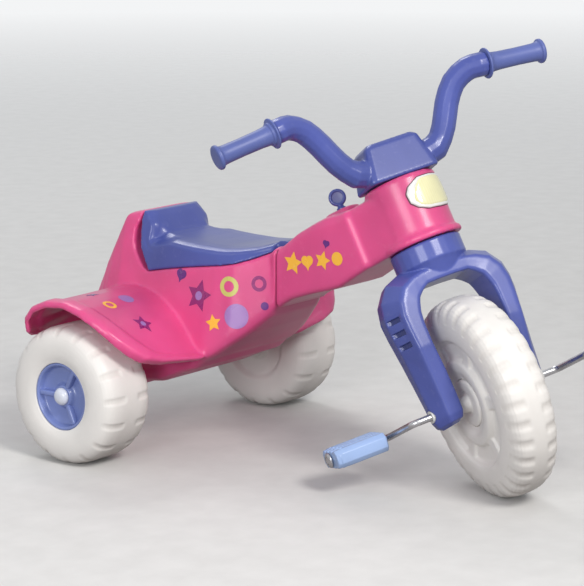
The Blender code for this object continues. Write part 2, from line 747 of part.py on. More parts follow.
def seat_sections():
    """The seat's sections from the backrest's top to the nose. Each has a place on the lower or back
    edge and one on the upper edge, as (ahead, above the axle), and the half width at both."""
    rest, pan = BACKREST_TOP_HALF_WIDTH, RIM_HALF_WIDTH
    backs = [
        ((-0.0186, 0.2150), (-0.0080, 0.2150), rest - 0.0005, rest - 0.0015),
        ((-0.0196, 0.2030), (-0.0015, 0.2085), rest + 0.0024, rest + 0.0012),
        ((-0.0186, 0.1890), (0.0065, 0.1985), rest + 0.0060, rest + 0.0042),
        ((-0.0145, 0.1685), (0.0130, 0.1905), pan - 0.0072, rest + 0.0082),
        ((-0.0060, 0.1550), (0.0200, 0.1865), pan - 0.0038, pan - 0.0072),
    ]
    first = RIM_STATIONS[0]
    backs.append(((first, rim_height(first) + FIT), (0.0300, 0.1850), pan - 0.0005, pan - 0.0055))
    tops = [
        ((0.0400, 0.1838), 0.0650), ((0.0600, 0.1822), 0.0657), ((0.0850, 0.1812), 0.0660),
        ((0.1050, 0.1810), 0.0658), ((0.1180, 0.1810), 0.0652), ((0.1300, 0.1815), 0.0640),
        ((0.1500, 0.1835), 0.0605), ((0.1700, 0.1868), 0.0530), ((0.1925, 0.1940), 0.0400),
    ]
    for ahead, (top, half) in zip(RIM_STATIONS[1:], tops):
        backs.append(((ahead, rim_height(ahead) + FIT), top, seat_half_width(ahead) - 0.0005, half))
    return backs


def seat_ring(lower, upper, half_low, half_high):
    """One section of the seat: a skirt, a crease, and a crown that is flat in its middle."""
    low, high = Vector(lower), Vector(upper)
    up = (high - low).normalized()
    half = [(half_low, low)]
    for inset, drop in ((0.0, SEAT_CREASE_DROP), (0.0018, SEAT_CREASE_DROP - 0.0006),
                        (0.0045, SEAT_CREASE_DROP * 0.45), (0.0130, 0.0), (0.030, -0.0008)):
        half.append((half_high - inset, high - up * drop))
    points = [(x, p) for x, p in half] + [(-x, p) for x, p in reversed(half)]
    return [(x, NOSE_AHEAD - p.x, p.y - NOSE_ABOVE) for x, p in points]


def seat_tongue():
    """The seat's tongue and the barrel round its hinge pin, as (ahead, above the axle)."""
    outline = [(NOSE_AHEAD - a, NOSE_ABOVE + up) for a, up in arc((0, 0), NOSE_RADIUS, 280, 90, 8)]
    last = RIM_STATIONS[-1]
    return outline + [
        (0.1965, 0.1962), (0.1890, 0.1915), (0.1880, rim_height(0.1880) + 0.0020),
        (last, rim_height(last) + 0.0012), (last + 0.0008, NOSE_ABOVE - 0.0055),
    ]


def make_seat(parent):
    """The seat is one moulding: a saddle pan, a low backrest and a barrel round its hinge pin."""
    seat = add_object("seat", loft("seat", [seat_ring(*place) for place in seat_sections()]),
                      parent, plastic("violet", VIOLET))
    outline = [(NOSE_AHEAD - a, up - NOSE_ABOVE) for a, up in seat_tongue()]
    tongue = add_object(
        "seat_tongue", prism("seat_tongue", outline, -NOSE_HALF_WIDTH, NOSE_HALF_WIDTH), parent)
    boolean(seat, tongue, "UNION")
    hole = add_object(
        "seat_pin_cutter",
        cylinder("seat_pin_cutter", HINGE_PIN_RADIUS + RUNNING, -0.06, 0.06, steps=12), parent)
    boolean(seat, hole, "DIFFERENCE")
    return seat


def make_seat_hinge(parent):
    reach = NOSE_HALF_WIDTH + HINGE_PIN_GRIP
    return add_object(
        "seat_hinge_pin",
        cylinder("seat_hinge_pin", HINGE_PIN_RADIUS, -reach, reach, steps=12), parent, steel(),
        location=(0, -NOSE_AHEAD, AXLE_HEIGHT + NOSE_ABOVE),
    )


def make_key(parent):
    """A round bow with a raised rim on a short stem. The stem runs up the local Z."""
    foot, slope = key_place()
    bow = KEY_BOW_THICKNESS / 2
    profile = [
        (-bow, KEY_BOW_RADIUS * 0.72), (-bow, KEY_BOW_RADIUS * 0.92), (-bow * 0.6, KEY_BOW_RADIUS),
        (bow * 0.6, KEY_BOW_RADIUS), (bow, KEY_BOW_RADIUS * 0.92), (bow, KEY_BOW_RADIUS * 0.72),
        (bow * 0.5, KEY_BOW_RADIUS * 0.64), (bow * 0.5, 0.0002), (-bow * 0.5, 0.0002),
        (-bow * 0.5, KEY_BOW_RADIUS * 0.64),
    ]
    key_axis = empty("key_axis", foot + Matrix.Rotation(-slope, 3, "X") @ Vector((0, 0, KEY_RISE)),
                     (-slope, 0, 0), parent)
    turned_key = empty("key_turned", (0, 0, 0), (0, 0, KEY_AT_REST), key_axis)
    disc = turned("ignition_key", profile, 14)
    key = add_object("ignition_key", fill_pinhole(disc), turned_key, plastic("violet", VIOLET))
    stem = add_object(
        "key_stem",
        cylinder("key_stem", KEY_STEM_RADIUS, -KEY_BOW_RADIUS - KEY_STEM_LENGTH,
                 -KEY_BOW_RADIUS * 0.75, "Z", 10), turned_key)
    boolean(key, stem, "UNION")
    return key_axis


def fill_pinhole(mesh):
    """Closes the fine hole that a turned profile leaves on its axis."""
    bm = bmesh.new()
    bm.from_mesh(mesh)
    bmesh.ops.remove_doubles(bm, verts=bm.verts, dist=0.0006)
    bmesh.ops.dissolve_degenerate(bm, edges=bm.edges, dist=1e-5)
    bmesh.ops.recalc_face_normals(bm, faces=bm.faces)
    bm.to_mesh(mesh)
    bm.free()
    return mesh


def rear_tyre_profile():
    """The rear tyre's section: balloon sides, a nearly flat tread and a socket for the hub."""
    r, h = REAR_WHEEL_RADIUS, REAR_WHEEL_WIDTH / 2
    bore = AXLE_RADIUS + RUNNING
    side = [(h, r - 0.027), (0.975 * h, r - 0.0165), (0.90 * h, r - 0.0085), (0.74 * h, r - 0.0026),
            (0.45 * h, r)]
    socket = HUB_RADIUS + FIT
    floor = h - 0.004 - HUB_DEPTH
    outer = [(floor, bore), (floor, socket), (h - 0.0035, socket), (h - 0.0006, socket + 0.007)]
    inner = [(-0.45 * h, r), (-0.74 * h, r - 0.0026), (-0.90 * h, r - 0.0085),
             (-0.975 * h, r - 0.0165), (-h, r - 0.027), (-h + 0.001, socket + 0.004),
             (-h + 0.008, socket - 0.004), (-h + 0.008, SPACER_RADIUS + 0.008),
             (-h, SPACER_RADIUS + 0.004), (-h, bore)]
    return outer + side + inner


def make_rear_wheel(side, parent):
    suffix = "right" if side < 0 else "left"
    steps = REAR_GROOVES * 2
    h = REAR_WHEEL_WIDTH / 2

    def grooves(step, along, radius):
        on_tread = abs(along) < 0.8 * h and radius > REAR_WHEEL_RADIUS - 0.003
        return REAR_GROOVE_DEPTH if on_tread and step % 2 else 0.0

    hub_axis = empty("rear_wheel_axis_" + suffix, (side * REAR_HALF_TRACK, 0, AXLE_HEIGHT),
                     (0, 0, 0 if side > 0 else math.pi), parent)
    tyre = turned("rear_wheel_" + suffix, rear_tyre_profile(), steps, grooves)
    add_object("rear_wheel_" + suffix, tyre, hub_axis, plastic("white", WHITE), smooth=35)
    make_hub(suffix, hub_axis)
    return hub_axis


def make_hub(suffix, parent):
    """A dished hub with radial webs round a boss that the axle runs through."""
    h = REAR_WHEEL_WIDTH / 2
    face = h - 0.0045
    back = face - HUB_DEPTH + FIT + 0.0005
    dish = face - 0.010
    bore = AXLE_RADIUS + RUNNING
    profile = [
        (back, bore), (back, HUB_RADIUS), (face, HUB_RADIUS), (face, HUB_RADIUS - 0.0035),
        (dish, HUB_RADIUS - 0.0065), (dish, HUB_BOSS_RADIUS + 0.003), (face - 0.004, HUB_BOSS_RADIUS),
        (face - 0.004, bore),
    ]
    name = "rear_hub_" + suffix
    hub = add_object(name, turned(name, profile, 20), parent, plastic("blue", BLUE))
    for i in range(HUB_WEBS):
        web = add_object(
            f"web_{suffix}_{i}",
            prism(f"web_{suffix}_{i}", [(HUB_BOSS_RADIUS - 0.002, dish - 0.002),
                                        (HUB_RADIUS - 0.003, dish - 0.002),
                                        (HUB_RADIUS - 0.003, face - 0.002),
                                        (HUB_BOSS_RADIUS - 0.002, face - 0.005)],
                  -HUB_WEB_WIDTH / 2, HUB_WEB_WIDTH / 2, "Y"), parent)
        web.rotation_euler = (math.radians(90 + 360 / HUB_WEBS * i), 0, 0)
        web.data.transform(Matrix(((0, 0, 1, 0), (0, 1, 0, 0), (1, 0, 0, 0), (0, 0, 0, 1))))
        flip = bmesh.new()
        flip.from_mesh(web.data)
        bmesh.ops.recalc_face_normals(flip, faces=flip.faces)
        flip.to_mesh(web.data)
        flip.free()
        boolean(hub, web, "UNION")
    return hub


def make_rear_axle(parent):
    face = WHEEL_OUTER - 0.0045 - 0.004
    end = face + 0.004
    add_object("rear_axle", cylinder("rear_axle", AXLE_RADIUS, -end, end, steps=16), parent, steel(),
               location=(0, 0, AXLE_HEIGHT))
    for side, suffix in ((-1, "right"), (1, "left")):
        low = RUNNING
        profile = [
            (low, AXLE_RADIUS + FIT), (low, CAP_RADIUS), (low + 0.0025, CAP_RADIUS),
            (low + CAP_HEIGHT * 0.7, CAP_RADIUS * 0.82), (low + CAP_HEIGHT * 0.95, CAP_RADIUS * 0.45),
            (low + CAP_HEIGHT, 0.0002), (0.004 + FIT, 0.0002), (0.004 + FIT, AXLE_RADIUS + FIT),
        ]
        cap = fill_pinhole(turned("axle_cap_" + suffix, profile, 14))
        made = add_object("axle_cap_" + suffix, cap, parent, steel(),
                          location=(side * face, 0, AXLE_HEIGHT))
        made.rotation_euler = (0, 0, 0 if side > 0 else math.pi)
        gap = RUNNING
        inner = WHEEL_INNER - SPACER_LENGTH
        spacer = [(0, AXLE_RADIUS + FIT), (0, SPACER_RADIUS), (SPACER_LENGTH - gap, SPACER_RADIUS),
                  (SPACER_LENGTH - gap, AXLE_RADIUS + FIT)]
        made = add_object("axle_spacer_" + suffix, turned("axle_spacer_" + suffix, spacer, 16), parent,
                          plastic("nylon", NYLON), location=(side * inner, 0, AXLE_HEIGHT))
        made.rotation_euler = (0, 0, 0 if side > 0 else math.pi)


def leg_inner():
    return FRONT_WHEEL_WIDTH / 2 + WHEEL_TO_LEG


def fork_path():
    """The middle of the fork's arch as (across, up, thickness, depth), from the right tip over
    the crown. Each leg bows out and thickens to a shoulder below the crown."""
    inner = leg_inner()
    crown = FRONT_WHEEL_RADIUS + WHEEL_TO_CROWN
    t, d, tip = LEG_THICKNESS, LEG_DEPTH, LEG_TIP_DEPTH
    side = [
        (inner + t * 0.46, -LEG_BELOW_AXLE, t * 0.58, tip * 0.52),
        (inner + t * 0.48, -LEG_BELOW_AXLE + 0.004, t * 0.84, tip * 0.86),
        (inner + t * 0.50, -LEG_BELOW_AXLE + 0.012, t * 0.98, tip),
        (inner + t * 0.52, 0.012, t, tip + 0.003),
        (inner + t * 0.59, 0.045, t, tip + (d - tip) * 0.55),
        (inner + t * 0.69, 0.080, t * 0.96, d),
        (inner + t * 0.74, crown - 0.043, t * 1.06, d),
        (inner + t * 0.74, crown - 0.026, t * 1.16, d),
        (inner + t * 0.63, crown - 0.010, t * 1.22, d),
        (inner + t * 0.38, crown + 0.003, t * 1.16, d * 0.99),
        (inner * 0.98, crown + 0.0105, t * 0.98, d * 0.97),
        (inner * 0.68, crown + 0.0140, CROWN_THICKNESS, d * 0.96),
        (inner * 0.25, crown + 0.0150, CROWN_THICKNESS, d * 0.96),
    ]
    right = [(-x, z, t0, d0) for x, z, t0, d0 in side]
    return right + [(x, z, t0, d0) for x, z, t0, d0 in reversed(side)]


def fork_rings():
    """Boxy sections square to the arch, bevelled outside in front, with rounded edges."""
    path = fork_path()
    rings = []
    for i, (x, z, thick, deep) in enumerate(path):
        here = Vector((x, z))
        before = Vector(path[max(i - 1, 0)][:2])
        after = Vector(path[min(i + 1, len(path) - 1)][:2])
        along = (after - before).normalized()
        outward = Vector((-along.y, along.x))
        half = thick / 2
        front = deep * LEG_AHEAD / LEG_DEPTH
        rear = deep - front
        corners = [
            (-half, -front), (half * 0.22, -front), (half, -front * 0.16), (half - LEG_WAIST, rear),
            (-half, rear),
        ]
        small = min(thick, deep) * 0.15
        outline = rounded(corners, [small * 0.7, small, small, small, small], 2)
        rings.append([
            (here.x + outward.x * a, b, here.y + outward.y * a) for a, b in outline
        ])
    return rings


def make_fork(parent):
    fork = add_object("fork", loft("fork", fork_rings()), parent, plastic("violet", VIOLET))
    top = HEAD_BOTTOM - RUNNING * 2
    collar_profile = [
        (FRONT_WHEEL_RADIUS + WHEEL_TO_CROWN + 0.006, COLLAR_RADIUS - 0.012),
        (top - COLLAR_HEIGHT, COLLAR_RADIUS - 0.003),
        (top - COLLAR_HEIGHT + 0.004, COLLAR_RADIUS),
        (top - 0.002, COLLAR_RADIUS),
        (top, COLLAR_RADIUS - 0.002),
    ]
    rings = [[(r * math.cos(a), r * math.sin(a), z) for a in
              [2 * math.pi * k / 28 for k in range(28)]] for z, r in collar_profile]
    collar = add_object("fork_collar", loft("fork_collar", rings), parent)
    boolean(fork, collar, "UNION")

    socket = cylinder("stem_socket_cutter", STEM_RADIUS + FIT, top - COLLAR_HEIGHT, top + 0.02, "Z", 24)
    socket = add_object("stem_socket_cutter", socket, parent)
    boolean(fork, socket, "DIFFERENCE")

    reach = leg_inner() + LEG_THICKNESS + 0.03
    hole = add_object(
        "axle_bushing_cutter",
        cylinder("axle_bushing_cutter", AXLE_BUSHING_RADIUS + FIT, -reach, reach, steps=18), parent)
    boolean(fork, hole, "DIFFERENCE")

    for side in (-1, 1):
        for i in range(LEG_SLOTS):
            up = LEG_SLOT_FOOT + LEG_SLOT_PITCH * i
            outer = leg_inner() + LEG_THICKNESS * 1.28
            outline = rounded(
                [(-LEG_SLOT_LENGTH / 2, -LEG_SLOT_HEIGHT / 2), (LEG_SLOT_LENGTH / 2, -LEG_SLOT_HEIGHT / 2),
                 (LEG_SLOT_LENGTH / 2, LEG_SLOT_HEIGHT / 2), (-LEG_SLOT_LENGTH / 2, LEG_SLOT_HEIGHT / 2)],
                [LEG_SLOT_HEIGHT * 0.4] * 4, 1)
            name = f"slot_cutter_{'right' if side < 0 else 'left'}_{i}"
            low, high = sorted((-side * LEG_SLOT_DEPTH, side * 0.020))
            cutter = add_object(name, prism(name, outline, low, high), parent,
                                location=(side * outer, -LEG_SLOT_AHEAD, up))
            cutter.rotation_euler = (0, 0, -side * LEG_SLOT_TURN)
            boolean(fork, cutter, "DIFFERENCE")
    return fork


def make_axle_bushings(parent):
    """Plain bearings in the fork's tips for the crank rod."""
    inner = leg_inner() + 0.0015
    width = LEG_THICKNESS - 0.002
    profile = [(0, CRANK_ROD_RADIUS + RUNNING), (0, AXLE_BUSHING_RADIUS), (width, AXLE_BUSHING_RADIUS),
               (width, CRANK_ROD_RADIUS + RUNNING)]
    for side, suffix in ((-1, "right"), (1, "left")):
        name = "axle_bushing_" + suffix
        made = add_object(name, turned(name, profile, 16), parent, plastic("nylon", NYLON),
                          location=(side * inner, 0, 0))
        made.rotation_euler = (0, 0, 0 if side > 0 else math.pi)


def make_stem(parent):
    """The steel tube that joins the fork to the handlebar through the head."""
    low = HEAD_BOTTOM - RUNNING * 2 - COLLAR_HEIGHT + FIT
    high = HEAD_TOP + RUNNING + BLOCK_HEIGHT * 0.62
    add_object("steering_stem", cylinder("steering_stem", STEM_RADIUS, low, high, "Z", 24), parent,
               steel())


def make_head_bushings(parent):
    """Two plain bearings in the ends of the head, each with a thin flange that lies in the bore's
    mouth."""
    outer = STEM_RADIUS + BUSHING_WALL + FIT
    inner = STEM_RADIUS + RUNNING
    for name, low, high in (
        ("head_bushing_lower", HEAD_BOTTOM + RUNNING, HEAD_BOTTOM + RUNNING + BUSHING_LENGTH),
        ("head_bushing_upper", HEAD_TOP - RUNNING - BUSHING_LENGTH, HEAD_TOP - RUNNING),
    ):
        profile = [(low, inner), (low, outer), (high, outer), (high, inner)]
        mesh = turned(name, profile, 18)
        mesh.transform(Matrix.Rotation(math.radians(-90), 4, "Y"))
        made = add_object(name, mesh, None, plastic("nylon", NYLON))
        made.location = steering_point(0, 0, 0)
        made.rotation_euler = (-RAKE, 0, 0)
        made.parent = parent


def bar_path(side):
    """The middle line of one side of the handlebar, from inside the block to the grip. Its places
    are shares of the way out from the block's side to the grip, of the reach and of the rise."""
    grip_in = BAR_HALF_SPAN - GRIP_LENGTH
    path = [(side * (BLOCK_HALF_WIDTH - 0.018), -BAR_REACH * 0.2692308, HEAD_TOP + 0.0195)]
    for out, ahead, up in (
        (0.0816327, 0.3653846, 0.2447917), (0.2653061, 0.4615385, 0.4479167),
        (0.4081633, 0.5576923, 0.7187500), (0.5714286, 0.7115385, 0.9375000),
        (0.7755102, 0.8846154, 1.0312500), (1.0, 1.0, 1.0104167),
    ):
        across = BLOCK_HALF_WIDTH + (grip_in - BLOCK_HALF_WIDTH) * out
        path.append((side * across, -BAR_REACH * ahead, HEAD_TOP + BAR_RISE * up))
    return path


def grip_ends(side):
    """The inner and outer ends of the grip's middle line. The grips droop slightly outwards."""
    inner = Vector(bar_path(side)[-1])
    outer = Vector((side * BAR_HALF_SPAN, -BAR_REACH, inner.z - 0.0072))
    return inner, outer


def make_handlebar(parent):
    """The block on top of the head with two S-bent tubes that end in thin cores for the grips."""
    floor = HEAD_TOP + RUNNING * 2
    outline_low = rounded(
        [(-BLOCK_HALF_WIDTH, -BLOCK_FRONT), (BLOCK_HALF_WIDTH, -BLOCK_FRONT),
         (BLOCK_HALF_WIDTH, BLOCK_BACK), (-BLOCK_HALF_WIDTH, BLOCK_BACK)], [0.008] * 4)
    rings = []
    for share, squeeze in ((0, 0.03), (0.06, 0.0), (0.5, 0.0), (0.9, 0.0), (1.0, 0.10)):
        width = 1 + (BLOCK_TOP_HALF_WIDTH / BLOCK_HALF_WIDTH - 1) * share - squeeze
        deep = 1 - 0.16 * share - squeeze
        rings.append([(x * width, y * deep, floor + BLOCK_HEIGHT * share) for x, y in outline_low])
    bar = add_object("handlebar", loft("handlebar", rings), parent, plastic("violet", VIOLET))
    for side, suffix in ((-1, "right"), (1, "left")):
        inner, outer = grip_ends(side)
        along = (outer - inner).normalized()
        path = smooth_path(bar_path(side)[:-1] + [inner - along * 0.008], 2) + [inner]
        radii = [BAR_RADIUS * (1.12 if i < 3 else 1.0) for i in range(len(path))]
        tube = add_object("bar_tube_" + suffix,
                          loft("bar_tube_" + suffix, tube_rings(path, radii, 12)), parent)
        boolean(bar, tube, "UNION")
        core = add_object(
            "bar_core_" + suffix,
            loft("bar_core_" + suffix,
                 tube_rings([inner - along * 0.006, outer - along * 0.010], GRIP_CORE_RADIUS, 12)),
            parent)
        boolean(bar, core, "UNION")
    socket = add_object(
        "block_socket_cutter",
        cylinder("block_socket_cutter", STEM_RADIUS + FIT, floor - 0.01,
                 HEAD_TOP + RUNNING + BLOCK_HEIGHT * 0.62 + FIT * 2, "Z", 24), parent)
    boolean(bar, socket, "DIFFERENCE")
    return bar


def make_grips(parent):
    """Soft sleeves with a wide collar inside and a round stop at the end."""
    for side, suffix in ((-1, "right"), (1, "left")):
        inner, outer = grip_ends(side)
        along = (outer - inner)
        length = along.length
        bore = GRIP_CORE_RADIUS + FIT
        f = GRIP_FLANGE_WIDTH
        profile = [
            (FIT, bore), (FIT, GRIP_FLANGE_RADIUS * 0.93), (f * 0.3, GRIP_FLANGE_RADIUS),
            (f * 0.7, GRIP_FLANGE_RADIUS), (f, GRIP_FLANGE_RADIUS * 0.9), (f * 1.2, GRIP_RADIUS),
            (length * 0.5, GRIP_RADIUS * 0.95), (length - f * 1.5, GRIP_RADIUS),
            (length - f * 1.1, GRIP_END_RADIUS), (length - f * 0.3, GRIP_END_RADIUS),
            (length, GRIP_END_RADIUS * 0.85), (length, 0.0002),
            (length - 0.010 + FIT, 0.0002), (length - 0.010 + FIT, bore),
        ]
        name = "grip_" + suffix
        grip = fill_pinhole(turned(name, profile, 12))
        made = add_object(name, grip, parent, plastic("violet", VIOLET), location=inner)
        made.rotation_mode = "QUATERNION"
        made.rotation_quaternion = along.to_track_quat("X", "Z")


def front_wheel_profile():
    r, h = FRONT_WHEEL_RADIUS, FRONT_WHEEL_WIDTH / 2
    half = front_tread_profile()
    bore = CRANK_ROD_RADIUS + FIT
    side = [(h - 0.0012, OUTER_RING + 0.008), (h - 0.0060, OUTER_RING), (h - 0.0070, INNER_RING + 0.009),
            (h - 0.0030, INNER_RING), (h - 0.0025, FRONT_HUB_RADIUS + 0.012),
            (h - 0.0070, FRONT_HUB_RADIUS + FIT), (h - 0.0160, FRONT_HUB_RADIUS + FIT),
            (h - 0.0160, bore)]
    right = half[1:] + side
    left = [(-x, q) for x, q in reversed(right)]
    return left + [half[0]] + right


def make_front_wheel(parent):
    """The driven wheel: ribs across its tread and stepped rings on its sides."""
    h = FRONT_WHEEL_WIDTH / 2

    def ribs(step, along, radius):
        on_tread = 0.30 * h < abs(along) < 0.85 * h and radius > FRONT_WHEEL_RADIUS - 0.010
        on_middle = abs(along) <= 0.30 * h and radius > FRONT_WHEEL_RADIUS - 0.002
        if step % 2 or not (on_tread or on_middle):
            return 0.0
        return FRONT_RIB_DEPTH * (0.5 if on_middle else 1.0)

    def on_tyre(along, radius):
        return radius > FRONT_WHEEL_RADIUS - 0.012

    wheel = turned("front_wheel", front_wheel_profile(), FRONT_RIBS, ribs, on_tyre)
    add_object("front_wheel", wheel, parent, plastic("white", WHITE), smooth=35)
    bore = CRANK_ROD_RADIUS + FIT
    floor, face = h - 0.0160 + FIT, h + WHEEL_TO_LEG - 0.002
    profile = [(floor, bore), (floor, FRONT_HUB_RADIUS), (h - 0.006, FRONT_HUB_RADIUS),
               (h - 0.004, FRONT_HUB_RADIUS - 0.003), (h - 0.004, 0.012), (face, 0.0074), (face, bore)]
    for side, suffix in ((-1, "right"), (1, "left")):
        name = "front_hub_" + suffix
        made = add_object(name, turned(name, profile, 18), parent, plastic("white", WHITE))
        made.rotation_euler = (0, 0, 0 if side > 0 else math.pi)


def crank_points():
    """The crank rod's middle line from the right pedal's pin to the left's. The right arm points
    back and the left arm forward, as local +Y and -Y."""
    out = leg_inner() + LEG_THICKNESS + CRANK_OVERHANG
    bend = CRANK_BEND_RADIUS
    pin = out + CRANK_SPLAY
    end = pin + PEDAL_PIN_LENGTH

    def side_points(side):
        sign = -side
        corner_a = Vector((side * out, 0, 0))
        corner_b = Vector((side * pin, sign * CRANK_ARM, 0))
        arm = (corner_b - corner_a).normalized()
        across = Vector((side, 0, 0))
        points = []
        for t in (1.0, 0.5):
            points.append(corner_a - across * bend * t)
        points.append(corner_a - across * bend * 0.16 + arm * bend * 0.16)
        for t in (0.5, 1.0):
            points.append(corner_a + arm * bend * t)
        for t in (1.0, 0.5):
            points.append(corner_b - arm * bend * t)
        points.append(corner_b - arm * bend * 0.16 + across * bend * 0.16)
        for t in (0.5, 1.0):
            points.append(corner_b + across * bend * t)
        points.append(Vector((side * end, sign * CRANK_ARM, 0)))
        return points

    right, left = side_points(-1), side_points(1)
    return right[::-1] + left


def make_crank(parent):
    rings = tube_rings(crank_points(), CRANK_ROD_RADIUS, 8)
    return add_object("crank_rod", loft("crank_rod", rings), parent, steel())


def pedal_place(side):
    """The middle of one pedal on its pin, in the crank's own terms."""
    out = leg_inner() + LEG_THICKNESS + CRANK_OVERHANG + CRANK_SPLAY
    start = out + CRANK_BEND_RADIUS + 0.001
    return Vector((side * (start + PEDAL_LENGTH / 2), -side * CRANK_ARM, 0))


def make_pedal(side, parent):
    """A block with a waist, ribbed treads on both faces and a bore for the pin."""
    suffix = "right" if side < 0 else "left"
    axis = empty("pedal_axis_" + suffix, pedal_place(side), (0, 0, 0), parent)
    level = empty("pedal_level_" + suffix, (0, 0, 0), (PEDAL_TILT, 0, 0), axis)
    w, t = PEDAL_WIDTH / 2, PEDAL_THICKNESS / 2
    outline = rounded([(-w, -t * 0.55), (-w * 0.80, -t), (w * 0.80, -t), (w, -t * 0.55),
                       (w, t * 0.55), (w * 0.80, t), (-w * 0.80, t), (-w, t * 0.55)], [0.003] * 8, 1)
    half = PEDAL_LENGTH / 2
    rings = []
    for along, scale in ((-1.0, 0.94), (-0.95, 1.0), (0.95, 1.0), (1.0, 0.94)):
        rings.append([(along * half, y * scale, z * scale) for y, z in outline])
    name = "pedal_" + suffix
    pedal = add_object(name, loft(name, rings), level, plastic("blue", BLUE))
    for face in (-1, 1):
        for i in range(PEDAL_TREAD_GROOVES):
            y = (i - (PEDAL_TREAD_GROOVES - 1) / 2) * w * 0.52
            cut_name = f"groove_{suffix}_{face}_{i}"
            low, high = sorted((face * (t - PEDAL_GROOVE_DEPTH), face * (t + 0.004)))
            outline = [(y - 0.003, low), (y + 0.003, low), (y + 0.003, high), (y - 0.003, high)]
            groove = add_object(cut_name, prism(cut_name, outline, -half * 0.86, half * 0.86), level)
            boolean(pedal, groove, "DIFFERENCE")
    bore = add_object(
        "pedal_bore_" + suffix,
        cylinder("pedal_bore_" + suffix, CRANK_ROD_RADIUS + PEDAL_BORE_CLEARANCE, -half - 0.01,
                 half + 0.01, steps=12), level)
    boolean(pedal, bore, "DIFFERENCE")
    nut_at = pedal_place(side).x + side * (half + RUNNING)
    nut = [(0, CRANK_ROD_RADIUS + FIT), (0, PUSH_NUT_RADIUS), (PUSH_NUT_THICKNESS * 0.6, PUSH_NUT_RADIUS),
           (PUSH_NUT_THICKNESS, PUSH_NUT_RADIUS * 0.7), (PUSH_NUT_THICKNESS, CRANK_ROD_RADIUS + FIT)]
    name = "push_nut_" + suffix
    made = add_object(name, turned(name, nut, 14), parent, steel(),
                      location=(nut_at, pedal_place(side).y, 0))
    made.rotation_euler = (0, 0, 0 if side > 0 else math.pi)


PEDAL_TILT = math.radians(12)


def world_box():
    """The box round every visible piece, as its low and high corners."""
    bpy.context.view_layer.update()
    graph = bpy.context.evaluated_depsgraph_get()
    low, high = Vector((9, 9, 9)), Vector((-9, -9, -9))
    for obj in bpy.data.objects:
        if obj.type != "MESH" or obj.hide_render:
            continue
        shape = obj.evaluated_get(graph)
        for vertex in shape.data.vertices:
            point = shape.matrix_world @ vertex.co
            low = Vector(map(min, low, point))
            high = Vector(map(max, high, point))
    return low, high


def main():
    clear_scene()
    trike = empty("tricycle")
    make_frame(trike)
    make_rear_axle(trike)
    for side in (-1, 1):
        make_rear_wheel(side, trike)
    make_seat_hinge(trike)
    seat_axis = empty("seat_axis", (0, -NOSE_AHEAD, AXLE_HEIGHT + NOSE_ABOVE), parent=trike)
    make_seat(seat_axis)
    make_key(trike)
    make_head_bushings(trike)

    raked = empty("steering_line", (0, -WHEELBASE, front_axle_height()), (-RAKE, 0, 0), trike)
    steering = empty("steering", rotation=(0, 0, -STEER_AT_REST), parent=raked)
    make_fork(steering)
    make_axle_bushings(steering)
    make_stem(steering)
    make_handlebar(steering)
    make_grips(steering)

    crank_axis = empty("crank_axis", parent=steering)
    make_front_wheel(crank_axis)
    make_crank(crank_axis)
    for side in (-1, 1):
        make_pedal(side, crank_axis)

    low, high = world_box()
    trike.location = (-(low.x + high.x) / 2, -(low.y + high.y) / 2, -low.z)
    low, high = world_box()
    print("box", [round(v, 5) for v in low], [round(v, 5) for v in high])
    for name in ("tricycle", "seat_axis", "key_axis", "steering_line", "crank_axis",
                 "rear_wheel_axis_right", "rear_wheel_axis_left", "pedal_axis_right", "pedal_axis_left"):
        place = bpy.data.objects[name].matrix_world
        print(name, [round(v, 6) for v in place.translation],
              "x", [round(v, 6) for v in place.col[0][:3]], "z", [round(v, 6) for v in place.col[2][:3]])


main()
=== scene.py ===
"""Looks of a child's pedal tricycle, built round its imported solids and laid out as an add-on."""

import json
import math

import bmesh
import bpy
from bpy.props import FloatProperty, FloatVectorProperty, IntProperty, PointerProperty
from mathutils import Matrix, Vector
from mathutils.bvhtree import BVHTree
from mathutils.kdtree import KDTree


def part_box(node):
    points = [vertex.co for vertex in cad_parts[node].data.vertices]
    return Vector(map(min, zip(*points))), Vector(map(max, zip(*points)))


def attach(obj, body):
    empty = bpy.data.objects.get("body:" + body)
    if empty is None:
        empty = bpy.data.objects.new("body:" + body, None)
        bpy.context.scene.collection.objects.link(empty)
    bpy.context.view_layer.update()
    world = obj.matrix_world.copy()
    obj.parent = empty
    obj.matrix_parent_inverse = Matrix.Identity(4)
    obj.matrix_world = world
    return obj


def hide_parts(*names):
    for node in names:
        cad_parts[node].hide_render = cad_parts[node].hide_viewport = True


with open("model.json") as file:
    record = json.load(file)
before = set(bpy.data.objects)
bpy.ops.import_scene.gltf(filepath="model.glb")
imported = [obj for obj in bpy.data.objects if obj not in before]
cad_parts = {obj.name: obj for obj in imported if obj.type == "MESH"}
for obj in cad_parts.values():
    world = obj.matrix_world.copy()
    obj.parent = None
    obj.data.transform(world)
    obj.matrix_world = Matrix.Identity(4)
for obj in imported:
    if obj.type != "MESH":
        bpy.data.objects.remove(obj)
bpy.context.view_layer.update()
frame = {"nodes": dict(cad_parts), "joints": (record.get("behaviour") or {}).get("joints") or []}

bl_info = {
    "name": "Pedal tricycle",
    "version": (1, 0, 0),
    "blender": (4, 5, 0),
    "location": "3D View > Sidebar > Tricycle",
    "description": "Dresses the solids of a moulded pedal tricycle with finished pieces",
    "category": "Object",
}

JOINTS = {joint["name"]: joint for joint in frame["joints"]}
SIDES = (("right", -1), ("left", 1))


# ---- settings


def colour(name, description, default):
    return FloatVectorProperty(name=name, description=description, default=default, size=3,
                               subtype="COLOR", min=0.0, max=1.0)


def length(name, description, default):
    return FloatProperty(name=name, description=description, default=default, unit="LENGTH",
                         subtype="DISTANCE", min=0.0, precision=4)


